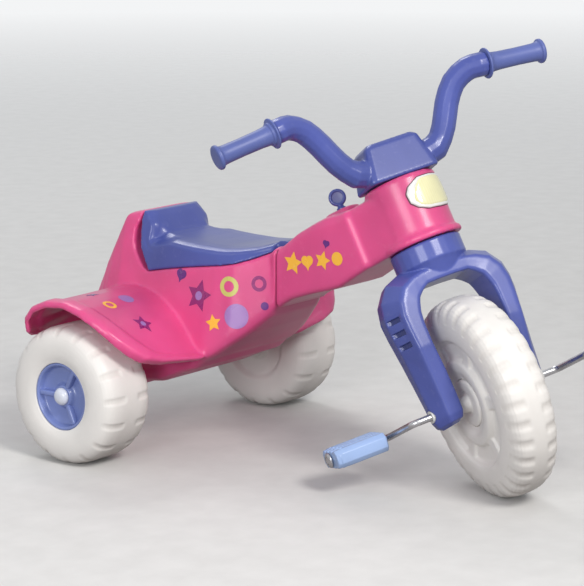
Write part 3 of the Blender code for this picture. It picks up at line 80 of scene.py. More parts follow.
class TricycleColours(bpy.types.PropertyGroup):
    frame_pink: colour("Frame", "Moulded frame and fenders", (0.77, 0.085, 0.27))
    violet: colour("Violet mouldings", "Seat, fork, handlebar and key", (0.072, 0.098, 0.365))
    grip: colour("Grips", "Soft sleeves on the handlebar", (0.110, 0.145, 0.40))
    wheel: colour("Wheels", "Tyres of all three wheels", (0.86, 0.83, 0.79))
    hub: colour("Rear hubs", "Dished hubs of the rear wheels", (0.21, 0.27, 0.58))
    pedal: colour("Pedals", "Pedal blocks", (0.36, 0.50, 0.80))
    cap: colour("Axle caps", "Domed caps on the rear axle", (0.74, 0.77, 0.86))
    steel: colour("Steel", "Plated rods and nuts", (0.56, 0.56, 0.58))
    nylon: colour("Nylon", "Bearings and spacers", (0.74, 0.74, 0.71))
    lens: colour("Lamp lens", "Dummy headlamp", (0.80, 0.765, 0.43))
    lamp_rim: colour("Lamp rim", "Bezel of the dummy headlamp", (0.80, 0.80, 0.77))
    magenta: colour("Magenta stickers", "Vinyl stickers", (0.27, 0.004, 0.15))
    purple: colour("Purple stickers", "Vinyl stickers", (0.12, 0.010, 0.20))
    lilac: colour("Lilac stickers", "Vinyl stickers", (0.36, 0.19, 0.50))
    yellow: colour("Yellow stickers", "Vinyl stickers", (0.98, 0.52, 0.04))
    lime: colour("Lime stickers", "Vinyl stickers", (0.60, 0.58, 0.14))


class TricycleSizes(bpy.types.PropertyGroup):
    shell_skin: length("Frame skin", "Cell of the frame's smooth skin", 0.0027)
    fine_skin: length("Fine skin", "Cell of the seat's and handlebar's smooth skin", 0.0018)
    fork_skin: length("Fork skin", "Cell of the fork's smooth skin with its slots", 0.0014)
    cross_grooves: IntProperty(name="Front grooves", description="Grooves round the front tread",
                               default=31, min=8, max=60)
    cross_groove_depth: length("Front groove depth", "Depth of the front tread's grooves", 0.0019)
    shoulder_grooves: IntProperty(name="Rear grooves", description="Grooves round a rear tyre",
                                  default=16, min=4, max=40)
    groove_depth: length("Rear groove depth", "Depth of the rear tyres' grooves", 0.0014)
    hub_webs: IntProperty(name="Hub webs", description="Webs in each rear hub", default=3,
                          min=2, max=9)
    sticker_thickness: length("Sticker thickness", "Vinyl film with its ink", 0.00018)
    lamp_height: length("Lamp height", "How far the lamp stands off the head", 0.0022)


def colours():
    return bpy.context.scene.tricycle_colours


def sizes():
    return bpy.context.scene.tricycle_sizes


# ---- materials


def rgba(tone, share=1.0):
    return (*(min(1.0, c * share) for c in tone), 1.0)


def fixed(shader, **values):
    """Values that are the same all over, on the shader's own sockets."""
    for key, value in values.items():
        shader.inputs[key.replace("_", " ")].default_value = value


class Nodes:
    """The nodes of one material or world, and the few patterns that they are made of."""

    def __init__(self, owner):
        owner.use_nodes = True
        self.owner, self.tree = owner, owner.node_tree

    def node(self, kind, settings=None, **values):
        """A node with its plain settings, and its sockets set or linked by name or number."""
        made = self.tree.nodes.new("ShaderNode" + kind)
        for key, value in (settings or {}).items():
            setattr(made, key, value)
        for key, value in values.items():
            socket = made.inputs[int(key[1:]) if key[0] == "_" else key.replace("_", " ")]
            if isinstance(value, bpy.types.NodeSocket):
                self.tree.links.new(value, socket)
            else:
                socket.default_value = value
        return made

    def noise(self, scale, detail=3.0, roughness=0.5, place=None):
        return self.node("TexNoise", Vector=place or self.place, Scale=scale, Detail=detail,
                         Roughness=roughness).outputs["Fac"]

    def spread(self, value, low, high, to_low, to_high):
        return self.node("MapRange", Value=value, From_Min=low, From_Max=high, To_Min=to_low,
                         To_Max=to_high).outputs["Result"]

    def cloudy(self, scale, detail, low, high):
        """A noise that swings between low and high."""
        return self.spread(self.noise(scale, detail), 0.3, 0.7, low, high)

    def tint(self, share, one, other):
        return self.node("Mix", {"data_type": "RGBA"}, _0=share, _6=one, _7=other).outputs[2]

    def total(self, one, other, operation="ADD"):
        return self.node("Math", {"operation": operation}, _0=one, _1=other).outputs[0]

    def times(self, one, other):
        return self.total(one, other, "MULTIPLY")


class Finish(Nodes):
    """A material on Object coordinates, with the grooves that the mesh marks from 0 to 1."""

    def __init__(self, name):
        super().__init__(bpy.data.materials.new(name))
        self.shader = self.tree.nodes["Principled BSDF"]
        self.place = self.node("TexCoord").outputs["Object"]
        self.groove = self.node("Attribute", {"attribute_name": "groove"}).outputs["Fac"]

    def surface(self, base, rough, strength, rise, height, **values):
        """Links the colour, roughness and fine relief, which is rise metres high."""
        relief = self.node("Bump", Strength=strength, Distance=rise, Height=height).outputs[0]
        for key, value in (("Base Color", base), ("Roughness", rough), ("Normal", relief)):
            self.tree.links.new(value, self.shader.inputs[key])
        fixed(self.shader, **values)
        return self.owner


SCUFF_STRETCH = (38.0, 9.0, 21.0)
GROOVE_DUST = (0.52, 0.47, 0.42)
DARK_SPECK = (0.50, 0.44, 0.37)
DULL_SPOT = (0.30, 0.27, 0.23)
PALE_FLUTE = (0.92, 0.92, 0.76)
GLOW_REACH = (1.0, 0.22, 0.45)  # red light travels furthest in pink plastic
GLOW_DEPTH = 0.009


def moulded(name, tone, rough=0.30, grain=0.00003, grain_scale=420.0, depth=0.80, coat=0.0,
            glow=0.0):
    """Moulded plastic: slow swirls in its colour, a faint orange peel and thin handling scuffs.
    Thin walls let light through by the share glow, and grooves that the mesh marks are darkened as
    painted shade."""
    f = Finish(name)
    swirl = f.noise(7.0)
    fleck = f.spread(f.noise(130.0, 2.0), 0.60, 0.80, 0.0, 0.35)
    base = f.tint(f.spread(swirl, 0.36, 0.64, 0.0, 1.0), rgba(tone, depth), rgba(tone, 1.05))
    base = f.tint(fleck, base, rgba([c * 0.9 + 0.06 for c in tone]))
    # painted shade: grooves and slots that the mesh marks are darkened towards 0.22 of the tone
    base = f.tint(f.times(f.groove, 0.62), base, rgba(tone, 0.22))
    stretched = f.node("Mapping", Vector=f.place, Scale=SCUFF_STRETCH).outputs["Vector"]
    scuffs = f.spread(f.noise(3.0, 9.0, 0.72, stretched), 0.60, 0.72, 0.0, 0.10)
    rough = f.total(f.spread(swirl, 0.3, 0.7, rough - 0.03, rough + 0.05), scuffs)
    if glow:
        fixed(f.shader, Subsurface_Weight=glow, Subsurface_Radius=GLOW_REACH,
              Subsurface_Scale=GLOW_DEPTH)
    return f.surface(base, rough, 0.6, grain, f.noise(grain_scale, 2.0), IOR=1.5, Coat_Weight=coat,
                     Coat_Roughness=0.12)


def tyre_plastic(name, tone):
    """Satin blown plastic, a little warm and dusty in the grooves."""
    f = Finish(name)
    swirl = f.spread(f.noise(11.0, 4.0), 0.35, 0.65, 0.0, 1.0)
    base = f.tint(swirl, rgba(tone, 0.94), rgba(tone, 1.04))
    base = f.tint(f.times(f.groove, f.cloudy(90.0, 4.0, 0.06, 0.26)), base, rgba(GROOVE_DUST))
    specks = f.spread(f.noise(310.0, 6.0, 0.7), 0.67, 0.75, 0.0, 0.12)
    rough = f.spread(f.noise(24.0, 6.0, 0.6), 0.3, 0.7, 0.36, 0.52)
    rough = f.total(rough, f.times(f.groove, 0.15))
    return f.surface(f.tint(specks, base, rgba(DARK_SPECK)), rough, 0.5, 0.00006, f.noise(260.0),
                     IOR=1.48)


def plated_steel(name, tone):
    """Zinc-plated rod: fine grain, cloudy plating and a few dull spots."""
    f = Finish(name)
    grain = f.noise(900.0, 2.0)
    spots = f.spread(f.noise(420.0, 5.0), 0.63, 0.72, 0.0, 0.5)
    base = f.tint(f.cloudy(60.0, 4.0, 0.0, 1.0), rgba(tone, 0.82), rgba(tone, 1.16))
    rough = f.total(f.spread(grain, 0.3, 0.7, 0.20, 0.34), f.times(spots, 0.4))
    base = f.tint(spots, base, rgba(DULL_SPOT))
    return f.surface(base, rough, 0.35, 0.00003, grain, Metallic=1.0)


def vinyl(name, tone):
    """Printed sticker film under a clear glossy layer, with fine print dots and rubbed spots."""
    f = Finish(name)
    dots = f.node("TexVoronoi", Vector=f.place, Scale=1400.0).outputs["Distance"]
    ink = rgba([c * 0.7 + 0.10 for c in tone])
    base = f.tint(f.spread(dots, 0.25, 0.60, 0.0, 0.22), rgba(tone), ink)
    rubs = f.spread(f.noise(95.0, 6.0, 0.7), 0.58, 0.70, 0.0, 0.30)
    return f.surface(f.tint(rubs, base, rgba([c * 0.6 + 0.22 for c in tone])),
                     f.cloudy(40.0, 4.0, 0.22, 0.34), 0.3, 0.00004, f.noise(150.0))


def lamp_plastic(name, tone):
    """Pale lens plastic with fine vertical flutes under a clear coat."""
    f = Finish(name)
    flutes = f.node("TexWave", {"wave_type": "BANDS", "bands_direction": "X"}, Vector=f.place,
                    Scale=95.0).outputs["Fac"]
    cloud = f.cloudy(30.0, 3.0, 0.0, 1.0)
    base = f.tint(cloud, rgba(tone, 0.90), rgba(tone, 1.06))
    base = f.tint(f.spread(flutes, 0.0, 1.0, 0.0, 0.16), base, rgba(PALE_FLUTE))
    return f.surface(base, f.spread(cloud, 0.0, 1.0, 0.16, 0.24), 0.5, 0.00012, flutes,
                     Coat_Weight=0.6, Coat_Roughness=0.06)


FINISHES = {}


def finish(name):
    """Each finish is made once, from the colours that are set."""
    if name not in FINISHES:
        c = colours()
        recipes = {
            "frame_pink": lambda: moulded("frame_pink", c.frame_pink, 0.34, coat=0.10, glow=0.22),
            "violet": lambda: moulded("violet_moulding", c.violet, 0.31, coat=0.15),
            "grip": lambda: moulded("grip_vinyl", c.grip, 0.42, 0.00005, 300.0),
            "hub": lambda: moulded("hub_blue", c.hub, 0.30, coat=0.2),
            "pedal": lambda: moulded("pedal_blue", c.pedal, 0.30, coat=0.15, depth=0.88),
            # dark slot floors of the pedals: painted shade in the recesses
            "pedal_slot": lambda: moulded("pedal_slot", [v * 0.12 for v in c.pedal], 0.6),
            # lighter inner face of the key's bow: a painted highlight
            "key_face": lambda: moulded("key_face", [v * 0.8 + 0.12 for v in c.violet], 0.34),
            "cap": lambda: moulded("axle_cap", c.cap, 0.24, depth=0.9),
            "nylon": lambda: moulded("nylon", c.nylon, 0.45),
            "lamp_rim": lambda: moulded("lamp_rim", c.lamp_rim, 0.22, depth=0.92, coat=0.4),
            # dark ring round the headlamp: a painted shadow
            "lamp_gap": lambda: moulded("lamp_gap", [v * 0.12 for v in c.frame_pink], 0.5),
            "wheel": lambda: tyre_plastic("tyre_plastic", c.wheel),
            "steel": lambda: plated_steel("plated_steel", c.steel),
            "lens": lambda: lamp_plastic("lamp_lens", c.lens),
        }
        for tone in ("magenta", "purple", "lilac", "yellow", "lime"):
            recipes["vinyl_" + tone] = lambda tone=tone: vinyl("vinyl_" + tone, getattr(c, tone))
        FINISHES[name] = recipes[name]()
    return FINISHES[name]


# ---- mesh tools


def mm(*corners):
    """Rows of numbers given in millimetres."""
    return [tuple(value / 1000 for value in corner) for corner in corners]


def basis(origin, x_axis, z_axis=None):
    """A place whose local X and Z run along the given directions."""
    x = Vector(x_axis).normalized()
    z = Vector(z_axis) if z_axis is not None else x.orthogonal()
    z = (z - x * z.dot(x)).normalized()
    made = Matrix((x, z.cross(x), z)).transposed().to_4x4()
    made.translation = Vector(origin)
    return made


STEER_UP = Vector(JOINTS["steer"]["axis"])
CRANK_ALONG = Vector(JOINTS["front_wheel_turn"]["axis"])
STEERED = basis(JOINTS["front_wheel_turn"]["pos_m"], CRANK_ALONG, STEER_UP)
HEAD = basis(JOINTS["front_wheel_turn"]["pos_m"], (1, 0, 0), STEER_UP)


def rear_place(suffix, side):
    return basis(JOINTS[f"rear_{suffix}_turn"]["pos_m"], (side, 0, 0), (0, 0, 1))


def linked(name, data):
    """A new object in the scene."""
    made = bpy.data.objects.new(name, data)
    bpy.context.scene.collection.objects.link(made)
    return made


def as_mesh(name, bm):
    mesh = bpy.data.meshes.new(name)
    bm.to_mesh(mesh)
    bm.free()
    return mesh


def outwards(bm):
    bmesh.ops.recalc_face_normals(bm, faces=bm.faces)


def piece(bm, name, body, surface, replaces=(), place=None, sharp=40):
    """Puts a finished mesh in its place, with its material and body."""
    if place is not None:
        bmesh.ops.transform(bm, matrix=place, verts=bm.verts)
    mesh = as_mesh(name, bm)
    made = linked(name, mesh)
    for each in ([surface] if isinstance(surface, str) else surface):
        mesh.materials.append(finish(each))
    mesh.shade_smooth()
    mesh.set_sharp_from_angle(angle=math.radians(sharp))
    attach(made, body)
    if replaces:
        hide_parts(*replaces)
    return made


def rounded(bm, geom, size, segments, affect="EDGES", clamp=False):
    bmesh.ops.bevel(bm, geom=geom, offset=size, offset_type="OFFSET", affect=affect,
                    segments=segments, profile=0.5, material=-1, clamp_overlap=clamp)


def only(geom, kind):
    return [each for each in geom if isinstance(each, kind)]


def smooth(bm, verts, factor):
    bmesh.ops.smooth_vert(bm, verts=verts, factor=factor, use_axis_x=True, use_axis_y=True,
                          use_axis_z=True)


def slice_across(bm, axis, places, near):
    """New edges at each place along an axis, through the faces whose middle is near."""
    for place in places:
        faces = [f for f in bm.faces if near(f.calc_center_median())]
        geom = (faces + list({e for f in faces for e in f.edges})
                + list({v for f in faces for v in f.verts}))
        bmesh.ops.bisect_plane(bm, geom=geom, dist=1e-5, plane_co=axis * place, plane_no=axis)


def turned(corners, steps, segments=3, cell=None):
    """Spins a section about local X. Each corner is (along, radius, rounding)."""
    bm = bmesh.new()
    verts = [bm.verts.new((along, 0.0, radius)) for along, radius, _ in corners]
    for one, other in zip(verts, verts[1:] + verts[:1]):
        bm.edges.new((one, other))
    for size in sorted({rounding for _, _, rounding in corners if rounding}):
        chosen = [v for v, (_, _, rounding) in zip(verts, corners) if rounding == size]
        rounded(bm, chosen, size, segments, "VERTICES")
    if cell:
        for cuts in range(1, 60):
            long = [e for e in bm.edges if cuts < e.calc_length() / cell <= cuts + 1]
            if long:
                bmesh.ops.subdivide_edges(bm, edges=long, cuts=cuts)
    bmesh.ops.spin(bm, geom=bm.verts[:] + bm.edges[:], cent=(0, 0, 0), axis=(1, 0, 0),
                   angle=math.tau, steps=steps, use_merge=True)
    bmesh.ops.remove_doubles(bm, verts=bm.verts, dist=1e-6)
    outwards(bm)
    return bm


def rod(points, radius, bend, sides=20, bend_steps=9, tip=0.0008):
    """A round rod along straight runs, with spun bends between them."""
    bm = bmesh.new()
    points = [Vector(p) for p in points]
    start = basis(points[0], points[1] - points[0]) @ Matrix.Rotation(math.pi / 2, 4, "Y")
    bmesh.ops.create_circle(bm, cap_ends=True, radius=radius, segments=sides, matrix=start)
    here, loop = points[0], bm.edges[:]

    def run_to(target):
        out = bmesh.ops.extrude_edge_only(bm, edges=loop)["geom"]
        bmesh.ops.translate(bm, vec=target - here, verts=only(out, bmesh.types.BMVert))
        return [e for e in only(out, bmesh.types.BMEdge) if e.is_boundary]

    for before, at, after in zip(points, points[1:], points[2:]):
        ahead, onward = (at - before).normalized(), (after - at).normalized()
        angle = ahead.angle(onward)
        first = at - ahead * bend
        loop = run_to(first)
        axis = ahead.cross(onward).normalized()
        centre = first + axis.cross(ahead) * (bend / math.tan(angle / 2))
        verts = list({v for e in loop for v in e.verts})
        out = bmesh.ops.spin(bm, geom=verts + loop, cent=centre, axis=axis, angle=angle,
                             steps=bend_steps)["geom_last"]
        loop = only(out, bmesh.types.BMEdge)
        here = at + onward * bend
    loop = run_to(points[-1])
    bmesh.ops.contextual_create(bm, geom=loop)
    outwards(bm)
    rims = [e for f in bm.faces if len(f.verts) == sides for e in f.edges]
    rounded(bm, rims, tip, 3)
    return bm


def block(size, round_by, segments, centre):
    """A box with rounded edges, to be shaped further or joined to others."""
    bm = bmesh.new()
    bmesh.ops.create_cube(bm, size=1.0)
    bmesh.ops.scale(bm, vec=size, verts=bm.verts)
    rounded(bm, bm.edges[:], round_by, segments)
    bmesh.ops.translate(bm, vec=centre, verts=bm.verts)
    return bm


def joined(*parts):
    """Several meshes as one."""
    whole = bmesh.new()
    for part in parts:
        mesh = as_mesh("part", part)
        whole.from_mesh(mesh)
        bpy.data.meshes.remove(mesh)
    return whole


FOLD_STEP = 0.002  # between the points that mark a fold
SKIN_SHARP = 75


def skinned(node_name, cell, rounds, fold, keep, tight):
    """A smooth even skin over a CAD node: its flats flow into each other, its folds stay tight. A
    fold is an edge that turns by more than fold(place) degrees. Within keep of one the skin is laid
    back on the node by the share tight, and elsewhere it is smoothed for so many rounds."""
    mesh = frame["nodes"][node_name].data.copy()
    bm = bmesh.new()
    bm.from_mesh(mesh)
    bmesh.ops.remove_doubles(bm, verts=bm.verts, dist=1e-5)
    folds = []
    for edge in bm.edges:
        one, other = edge.verts[0].co, edge.verts[1].co
        least = math.radians(fold((one + other) / 2))
        if len(edge.link_faces) == 2 and edge.calc_face_angle(0.0) > least:
            cuts = max(1, int((one - other).length / FOLD_STEP))
            folds += [one.lerp(other, i / cuts) for i in range(cuts + 1)]
    solid = BVHTree.FromBMesh(bm)
    bm.to_mesh(mesh)
    bm.free()
    near = KDTree(len(folds))
    for i, point in enumerate(folds):
        near.insert(point, i)
    near.balance()
    holder = linked("holder", mesh)
    remesh = holder.modifiers.new("skin", "REMESH")
    remesh.mode = "VOXEL"
    remesh.voxel_size = cell
    shown = holder.evaluated_get(bpy.context.evaluated_depsgraph_get())
    made = bpy.data.meshes.new_from_object(shown)
    bpy.data.objects.remove(holder)
    bm = bmesh.new()
    bm.from_mesh(made)
    for _ in range(3):
        smooth(bm, bm.verts, 0.5)
    broad, folded = [], []
    for vert in bm.verts:
        (folded if near.find(vert.co)[2] <= keep else broad).append(vert)
    for vert in folded:
        vert.co = vert.co.lerp(solid.find_nearest(vert.co)[0], tight)
    smooth(bm, folded, 0.35)
    for _ in range(rounds):
        smooth(bm, broad, 0.5)
        smooth(bm, broad, -0.51)
    low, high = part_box(node_name)
    for vert in bm.verts:
        vert.co = [min(max(c, a), b) for c, a, b in zip(vert.co, low, high)]
    return bm


# ---- frame, seat, steered mouldings


class FrameMoulding(bpy.types.Operator):
    """Hollow moulded frame with its fenders, neck and steering head"""

    bl_idname = "tricycle.frame_moulding"
    bl_label = "Frame moulding"

    GROOVE, GROOVE_HALF, GROOVE_DEPTH = 0.0740, 0.0019, 0.0032  # across the neck's foot
    GROOVE_TOP = 0.30
    NECK_END, CORNERS_START, CORNERS_TOP, HULL_HALF = 0.070, 0.340, 0.215, 0.092

    @staticmethod
    def fold(at):
        """Crisp on the neck, softer on the fenders, and round on the fenders' rear corners."""
        if at.y < FrameMoulding.NECK_END:
            return 15
        corner = (at.y >= FrameMoulding.CORNERS_START and at.z <= FrameMoulding.CORNERS_TOP
                  and abs(at.x) >= FrameMoulding.HULL_HALF)
        return 85 if corner else 32

    def cut_groove(self, bm):
        """Sharpens the groove between the hull and the neck: new edges run along it, and the skin
        between them is pushed in."""
        places = [self.GROOVE + i / 2 * self.GROOVE_HALF for i in range(-3, 4)]
        slice_across(bm, Vector((0, 1, 0)), places,
                     lambda at: abs(at.y - self.GROOVE) < 0.012 and at.z < self.GROOVE_TOP)
        bm.normal_update()
        mark = bm.verts.layers.float.new("groove")
        sunk = []
        for vert in bm.verts:
            share = pulse(vert.co.y - self.GROOVE, self.GROOVE_HALF * 0.5, self.GROOVE_HALF * 0.55)
            if share and vert.co.z < self.GROOVE_TOP and vert.normal.z < 0.6:
                out = Vector((vert.normal.x, 0, vert.normal.z)).normalized()
                sunk.append((vert, out * share * self.GROOVE_DEPTH))
                # the mark darkens the groove in the frame's material: painted shade
                vert[mark] = share
        for vert, inwards in sunk:
            vert.co -= inwards

    def execute(self, context):
        bm = skinned("frame_shell", sizes().shell_skin, 24, self.fold, 0.0035, 0.8)
        self.cut_groove(bm)
        piece(bm, "frame_moulding", "frame", "frame_pink", ["frame_shell"],
              sharp=SKIN_SHARP)
        return {"FINISHED"}


class SeatMoulding(bpy.types.Operator):
    """Saddle seat with its low backrest, which lifts on a pin at its nose"""

    bl_idname = "tricycle.seat_moulding"
    bl_label = "Seat moulding"

    CREASE_LOW, CREASE_HIGH = (-0.056, 0.250, 0.270), (0.056, 0.283, 0.4)  # box that holds it
    PAN, PAN_SLOPE, PAN_BOW = (0.2591, 0.2771), 0.15, 0.0008  # a point back and up, in the middle
    BACK, BACK_SLOPE, BACK_BOW = (0.27125, 0.2888), 1.24, 0.0046
    HALF_WIDTH = 0.052
    CORNER, CORNER_REACH, CORNER_PULL = (0.266, 0.272), (0.030, 0.021), (0.0110, 0.0090)

    def crease_back(self, bm):
        """Tightens the soft hollow between the pan and the backrest to a crease across the seat."""
        bm.normal_update()
        for vert in bm.verts:
            x, y, z = vert.co
            inside = all(a < c < b for a, c, b in zip(self.CREASE_LOW, vert.co, self.CREASE_HIGH))
            if inside and vert.normal.z >= 0.2:
                bow = (x / self.HALF_WIDTH) ** 2
                pan = self.PAN[1] + self.PAN_SLOPE * (y - self.PAN[0]) - self.PAN_BOW * bow
                back = self.BACK[1] + self.BACK_SLOPE * (y - self.BACK_BOW * bow - self.BACK[0])
                vert.co.z = min(z, max(pan, back))

    def settle_corners(self, bm):
        """Draws the pan's rear corners back and down, so that the wings stand upright on them."""
        for vert in bm.verts:
            away = math.hypot(*((c - at) / reach for c, at, reach
                                in zip(vert.co.yz, self.CORNER, self.CORNER_REACH)))
            if away < 1.0:
                share = (1.0 - away * away) ** 2 * pulse(0.060 - abs(vert.co.x), 0.002, 0.022)
                vert.co.y += self.CORNER_PULL[0] * share
                vert.co.z -= self.CORNER_PULL[1] * share

    def execute(self, context):
        bm = skinned("seat", sizes().fine_skin, 20, lambda at: 20, 0.0030, 0.6)
        self.crease_back(bm)
        self.settle_corners(bm)
        piece(bm, "seat_moulding", "seat_lid", "violet", ["seat"],
              sharp=SKIN_SHARP)
        return {"FINISHED"}


class SteeredMouldings(bpy.types.Operator):
    """Fork and handlebar, which turn together on the steel stem"""

    bl_idname = "tricycle.steered_mouldings"
    bl_label = "Fork and handlebar"

    SLOTS = (0.0890, 0.1055, 0.1220)  # up the steering line from the axle
    SLOT_BACK, SLOT_FRONT, SLOT_HALF, SLOT_DEPTH = -0.0080, -0.0265, 0.0027, 0.0045
    LEG_INSIDE, LEG_FRONT, LEG_BACK = 0.055, -0.030, 0.017
    OLD_DEPTH = 0.0105  # more than the node's own slots, which the skin blurs

    def cut_slots(self, bm):
        """Three short slots in the outer side of each leg, sharp at their rims. The skin between
        two slots is taken straight, so that the node's blurred slots are filled first."""
        back = STEERED.inverted()
        bmesh.ops.transform(bm, matrix=back, verts=bm.verts)
        tree = BVHTree.FromBMesh(bm)
        half = (self.SLOTS[1] - self.SLOTS[0]) / 2
        middle = (self.SLOT_BACK + self.SLOT_FRONT) / 2
        reach = (self.SLOT_BACK - self.SLOT_FRONT) / 2
        mark = bm.verts.layers.float.new("groove")
        for up in self.SLOTS:
            rims = [up + i * self.SLOT_HALF for i in (-1.35, -0.95, 0.95, 1.35)]
            slice_across(bm, Vector((0, 0, 1)), rims,
                         lambda at: abs(at.z - up) < half and abs(at.x) > self.LEG_INSIDE)
        for vert in bm.verts:
            up = min(self.SLOTS, key=lambda at: abs(at - vert.co.z))
            if (abs(vert.co.x) < self.LEG_INSIDE or abs(vert.co.z - up) > half
                    or not self.LEG_FRONT < vert.co.y < self.LEG_BACK):
                continue
            side = math.copysign(1.0, vert.co.x)
            ends = [tree.ray_cast(Vector((side * 0.15, vert.co.y, up + off)), Vector((-side, 0, 0)))[0]
                    for off in (-half, half)]
            if any(end is None or end.x * side < self.LEG_INSIDE for end in ends):
                continue
            share = (vert.co.z - up + half) / (2 * half)
            skin = ends[0].x * (1 - share) + ends[1].x * share
            if abs(vert.co.x) < abs(skin) - self.OLD_DEPTH:
                continue
            deep = (pulse(vert.co.z - up, self.SLOT_HALF * 0.95, self.SLOT_HALF * 0.4)
                    * pulse(vert.co.y - middle, reach - 0.0008, 0.0016))
            vert.co.x = skin - side * self.SLOT_DEPTH * deep
            # the mark darkens the slot in the violet material: painted shade
            vert[mark] = deep
        bmesh.ops.transform(bm, matrix=STEERED, verts=bm.verts)

    def execute(self, context):
        for node_name, name in (("fork", "fork_moulding"), ("handlebar", "handlebar_moulding")):
            cell = sizes().fork_skin if node_name == "fork" else sizes().fine_skin
            bm = skinned(node_name, cell, 14, lambda at: 20, 0.0028, 0.85)
            if node_name == "fork":
                self.cut_slots(bm)
            piece(bm, name, "steering", "violet", [node_name], sharp=SKIN_SHARP)
        return {"FINISHED"}


class Grips(bpy.types.Operator):
    """Soft sleeves with a collar inside and a stop at the end"""

    bl_idname = "tricycle.grips"
    bl_label = "Grips"

    INNER = Vector((0.146, -0.052, 0.3805))
    OUTER = Vector((0.226, -0.052, 0.3733))

    def execute(self, context):
        long = (self.OUTER - self.INNER).length * 1000
        corners = mm(
            (0.3, 8.1, 0), (0.3, 19.2, 1), (2.6, 19.5, 0.9), (3.6, 15, 0.6), (6.2, 14.8, 0.8),
            (7.4, 12.6, 1), (18, 11.6, 3), (long * 0.55, 11.2, 0), (long - 12, 11.6, 2.6),
            (long - 6.6, 12.6, 1.2), (long - 5.2, 15.5, 1), (long - 1.4, 15.4, 1.4), (long, 12, 1),
            (long, 0, 0), (long - 9.7, 0, 0), (long - 9.7, 8.1, 0))
        for suffix, side in SIDES:
            inner = Vector((side * self.INNER.x, *self.INNER.yz))
            outer = Vector((side * self.OUTER.x, *self.OUTER.yz))
            place = STEERED @ basis(inner, outer - inner, (0, 0, 1))
            piece(turned(corners, 40), "grip_sleeve_" + suffix, "steering", "grip",
                  ["grip_" + suffix], place)
        return {"FINISHED"}


# ---- wheels


def pulse(offset, half, edge):
    """1 within half of the middle, falling smoothly to 0 over edge."""
    t = min(1.0, max(0.0, (half + edge - abs(offset)) / edge))
    return t * t * (3 - 2 * t)


def phase(turn, count, shift=0.0):
    """Where a direction lies within one of count equal parts, from -0.5 to 0.5."""
    return (turn / math.tau * count + shift + 0.5) % 1.0 - 0.5


def carve(bm, depth_at):
    """Sinks the points of a wheel by depth_at(along, radius, turn), as (inwards, sideways), and marks
    how deep it went for the material."""
    mark = bm.verts.layers.float.new("groove")
    for vert in bm.verts:
        radius = math.hypot(vert.co.y, vert.co.z)
        if radius < 1e-6:
            continue
        inwards, sideways, shade = depth_at(vert.co.x, radius, math.atan2(vert.co.y, vert.co.z))
        share = (radius - inwards) / radius
        vert.co.y *= share
        vert.co.z *= share
        vert.co.x -= math.copysign(sideways, vert.co.x)
        vert[mark] = shade


class FrontWheel(bpy.types.Operator):
    """Driven wheel with cross grooves on its tread and pockets in its sides"""

    bl_idname = "tricycle.front_wheel"
    bl_label = "Front wheel"

    TREAD = mm(
        (10, 126.4, 4), (20, 124.1, 5), (27, 118.2, 5), (30.5, 108.5, 4), (32, 98, 4),
        (31.8, 86.5, 2), (30.5, 81.5, 1.2), (27.2, 79.2, 1.2), (26.2, 74, 2), (25.6, 61, 2),
        (26.8, 55, 1.2), (29.2, 52.8, 1), (29.8, 49, 1.6), (29.4, 42, 1.6), (26.2, 35, 1.6),
        (25.2, 30.6, 0.6), (16, 30.3, 0), (16, 4.7, 0))
    POCKETS, POCKET_DEPTH = 6, 0.0032

    def execute(self, context):
        count, deep = sizes().cross_grooves, sizes().cross_groove_depth
        mirrored = [(-along, radius, r) for along, radius, r in reversed(self.TREAD)]
        bm = turned(mirrored + self.TREAD, count * 10, 2, 0.0014)

        def depth_at(along, radius, turn):
            out = abs(along)
            across = pulse(out - 0.0205, 0.0085, 0.0050) * (radius > 0.104)
            groove = across * pulse(phase(turn, count, 0.5 if along > 0 else 0.0), 0.13, 0.13)
            pocket = 0.0
            if 0.050 < radius < 0.082 and out > 0.02:
                arc = abs(phase(turn, self.POCKETS, 0.2)) * math.tau / self.POCKETS * radius
                half = math.pi / self.POCKETS * radius - 0.0065
                pocket = pulse(radius - 0.0665, 0.0085, 0.0035) * pulse(arc, half - 0.004, 0.004)
            return deep * groove, self.POCKET_DEPTH * pocket, groove

        carve(bm, depth_at)
        piece(bm, "front_tyre", "drive", "wheel", ["front_wheel"], STEERED, sharp=60)
        hub = mm(
            (16.4, 4.7, 0), (16.4, 29.9, 0), (25.6, 29.9, 1.2), (27.6, 26.8, 1.2),
            (27.8, 16.5, 1.5), (26.2, 14, 1.2), (27.2, 11.2, 1.2), (41.8, 7.4, 1), (41.8, 4.7, 0))
        for suffix, side in SIDES:
            place = STEERED @ Matrix.Rotation(0.0 if side > 0 else math.pi, 4, "Z")
            piece(turned(hub, 48), "front_hub_cover_" + suffix, "drive", "wheel",
                  ["front_hub_" + suffix], place)
        return {"FINISHED"}


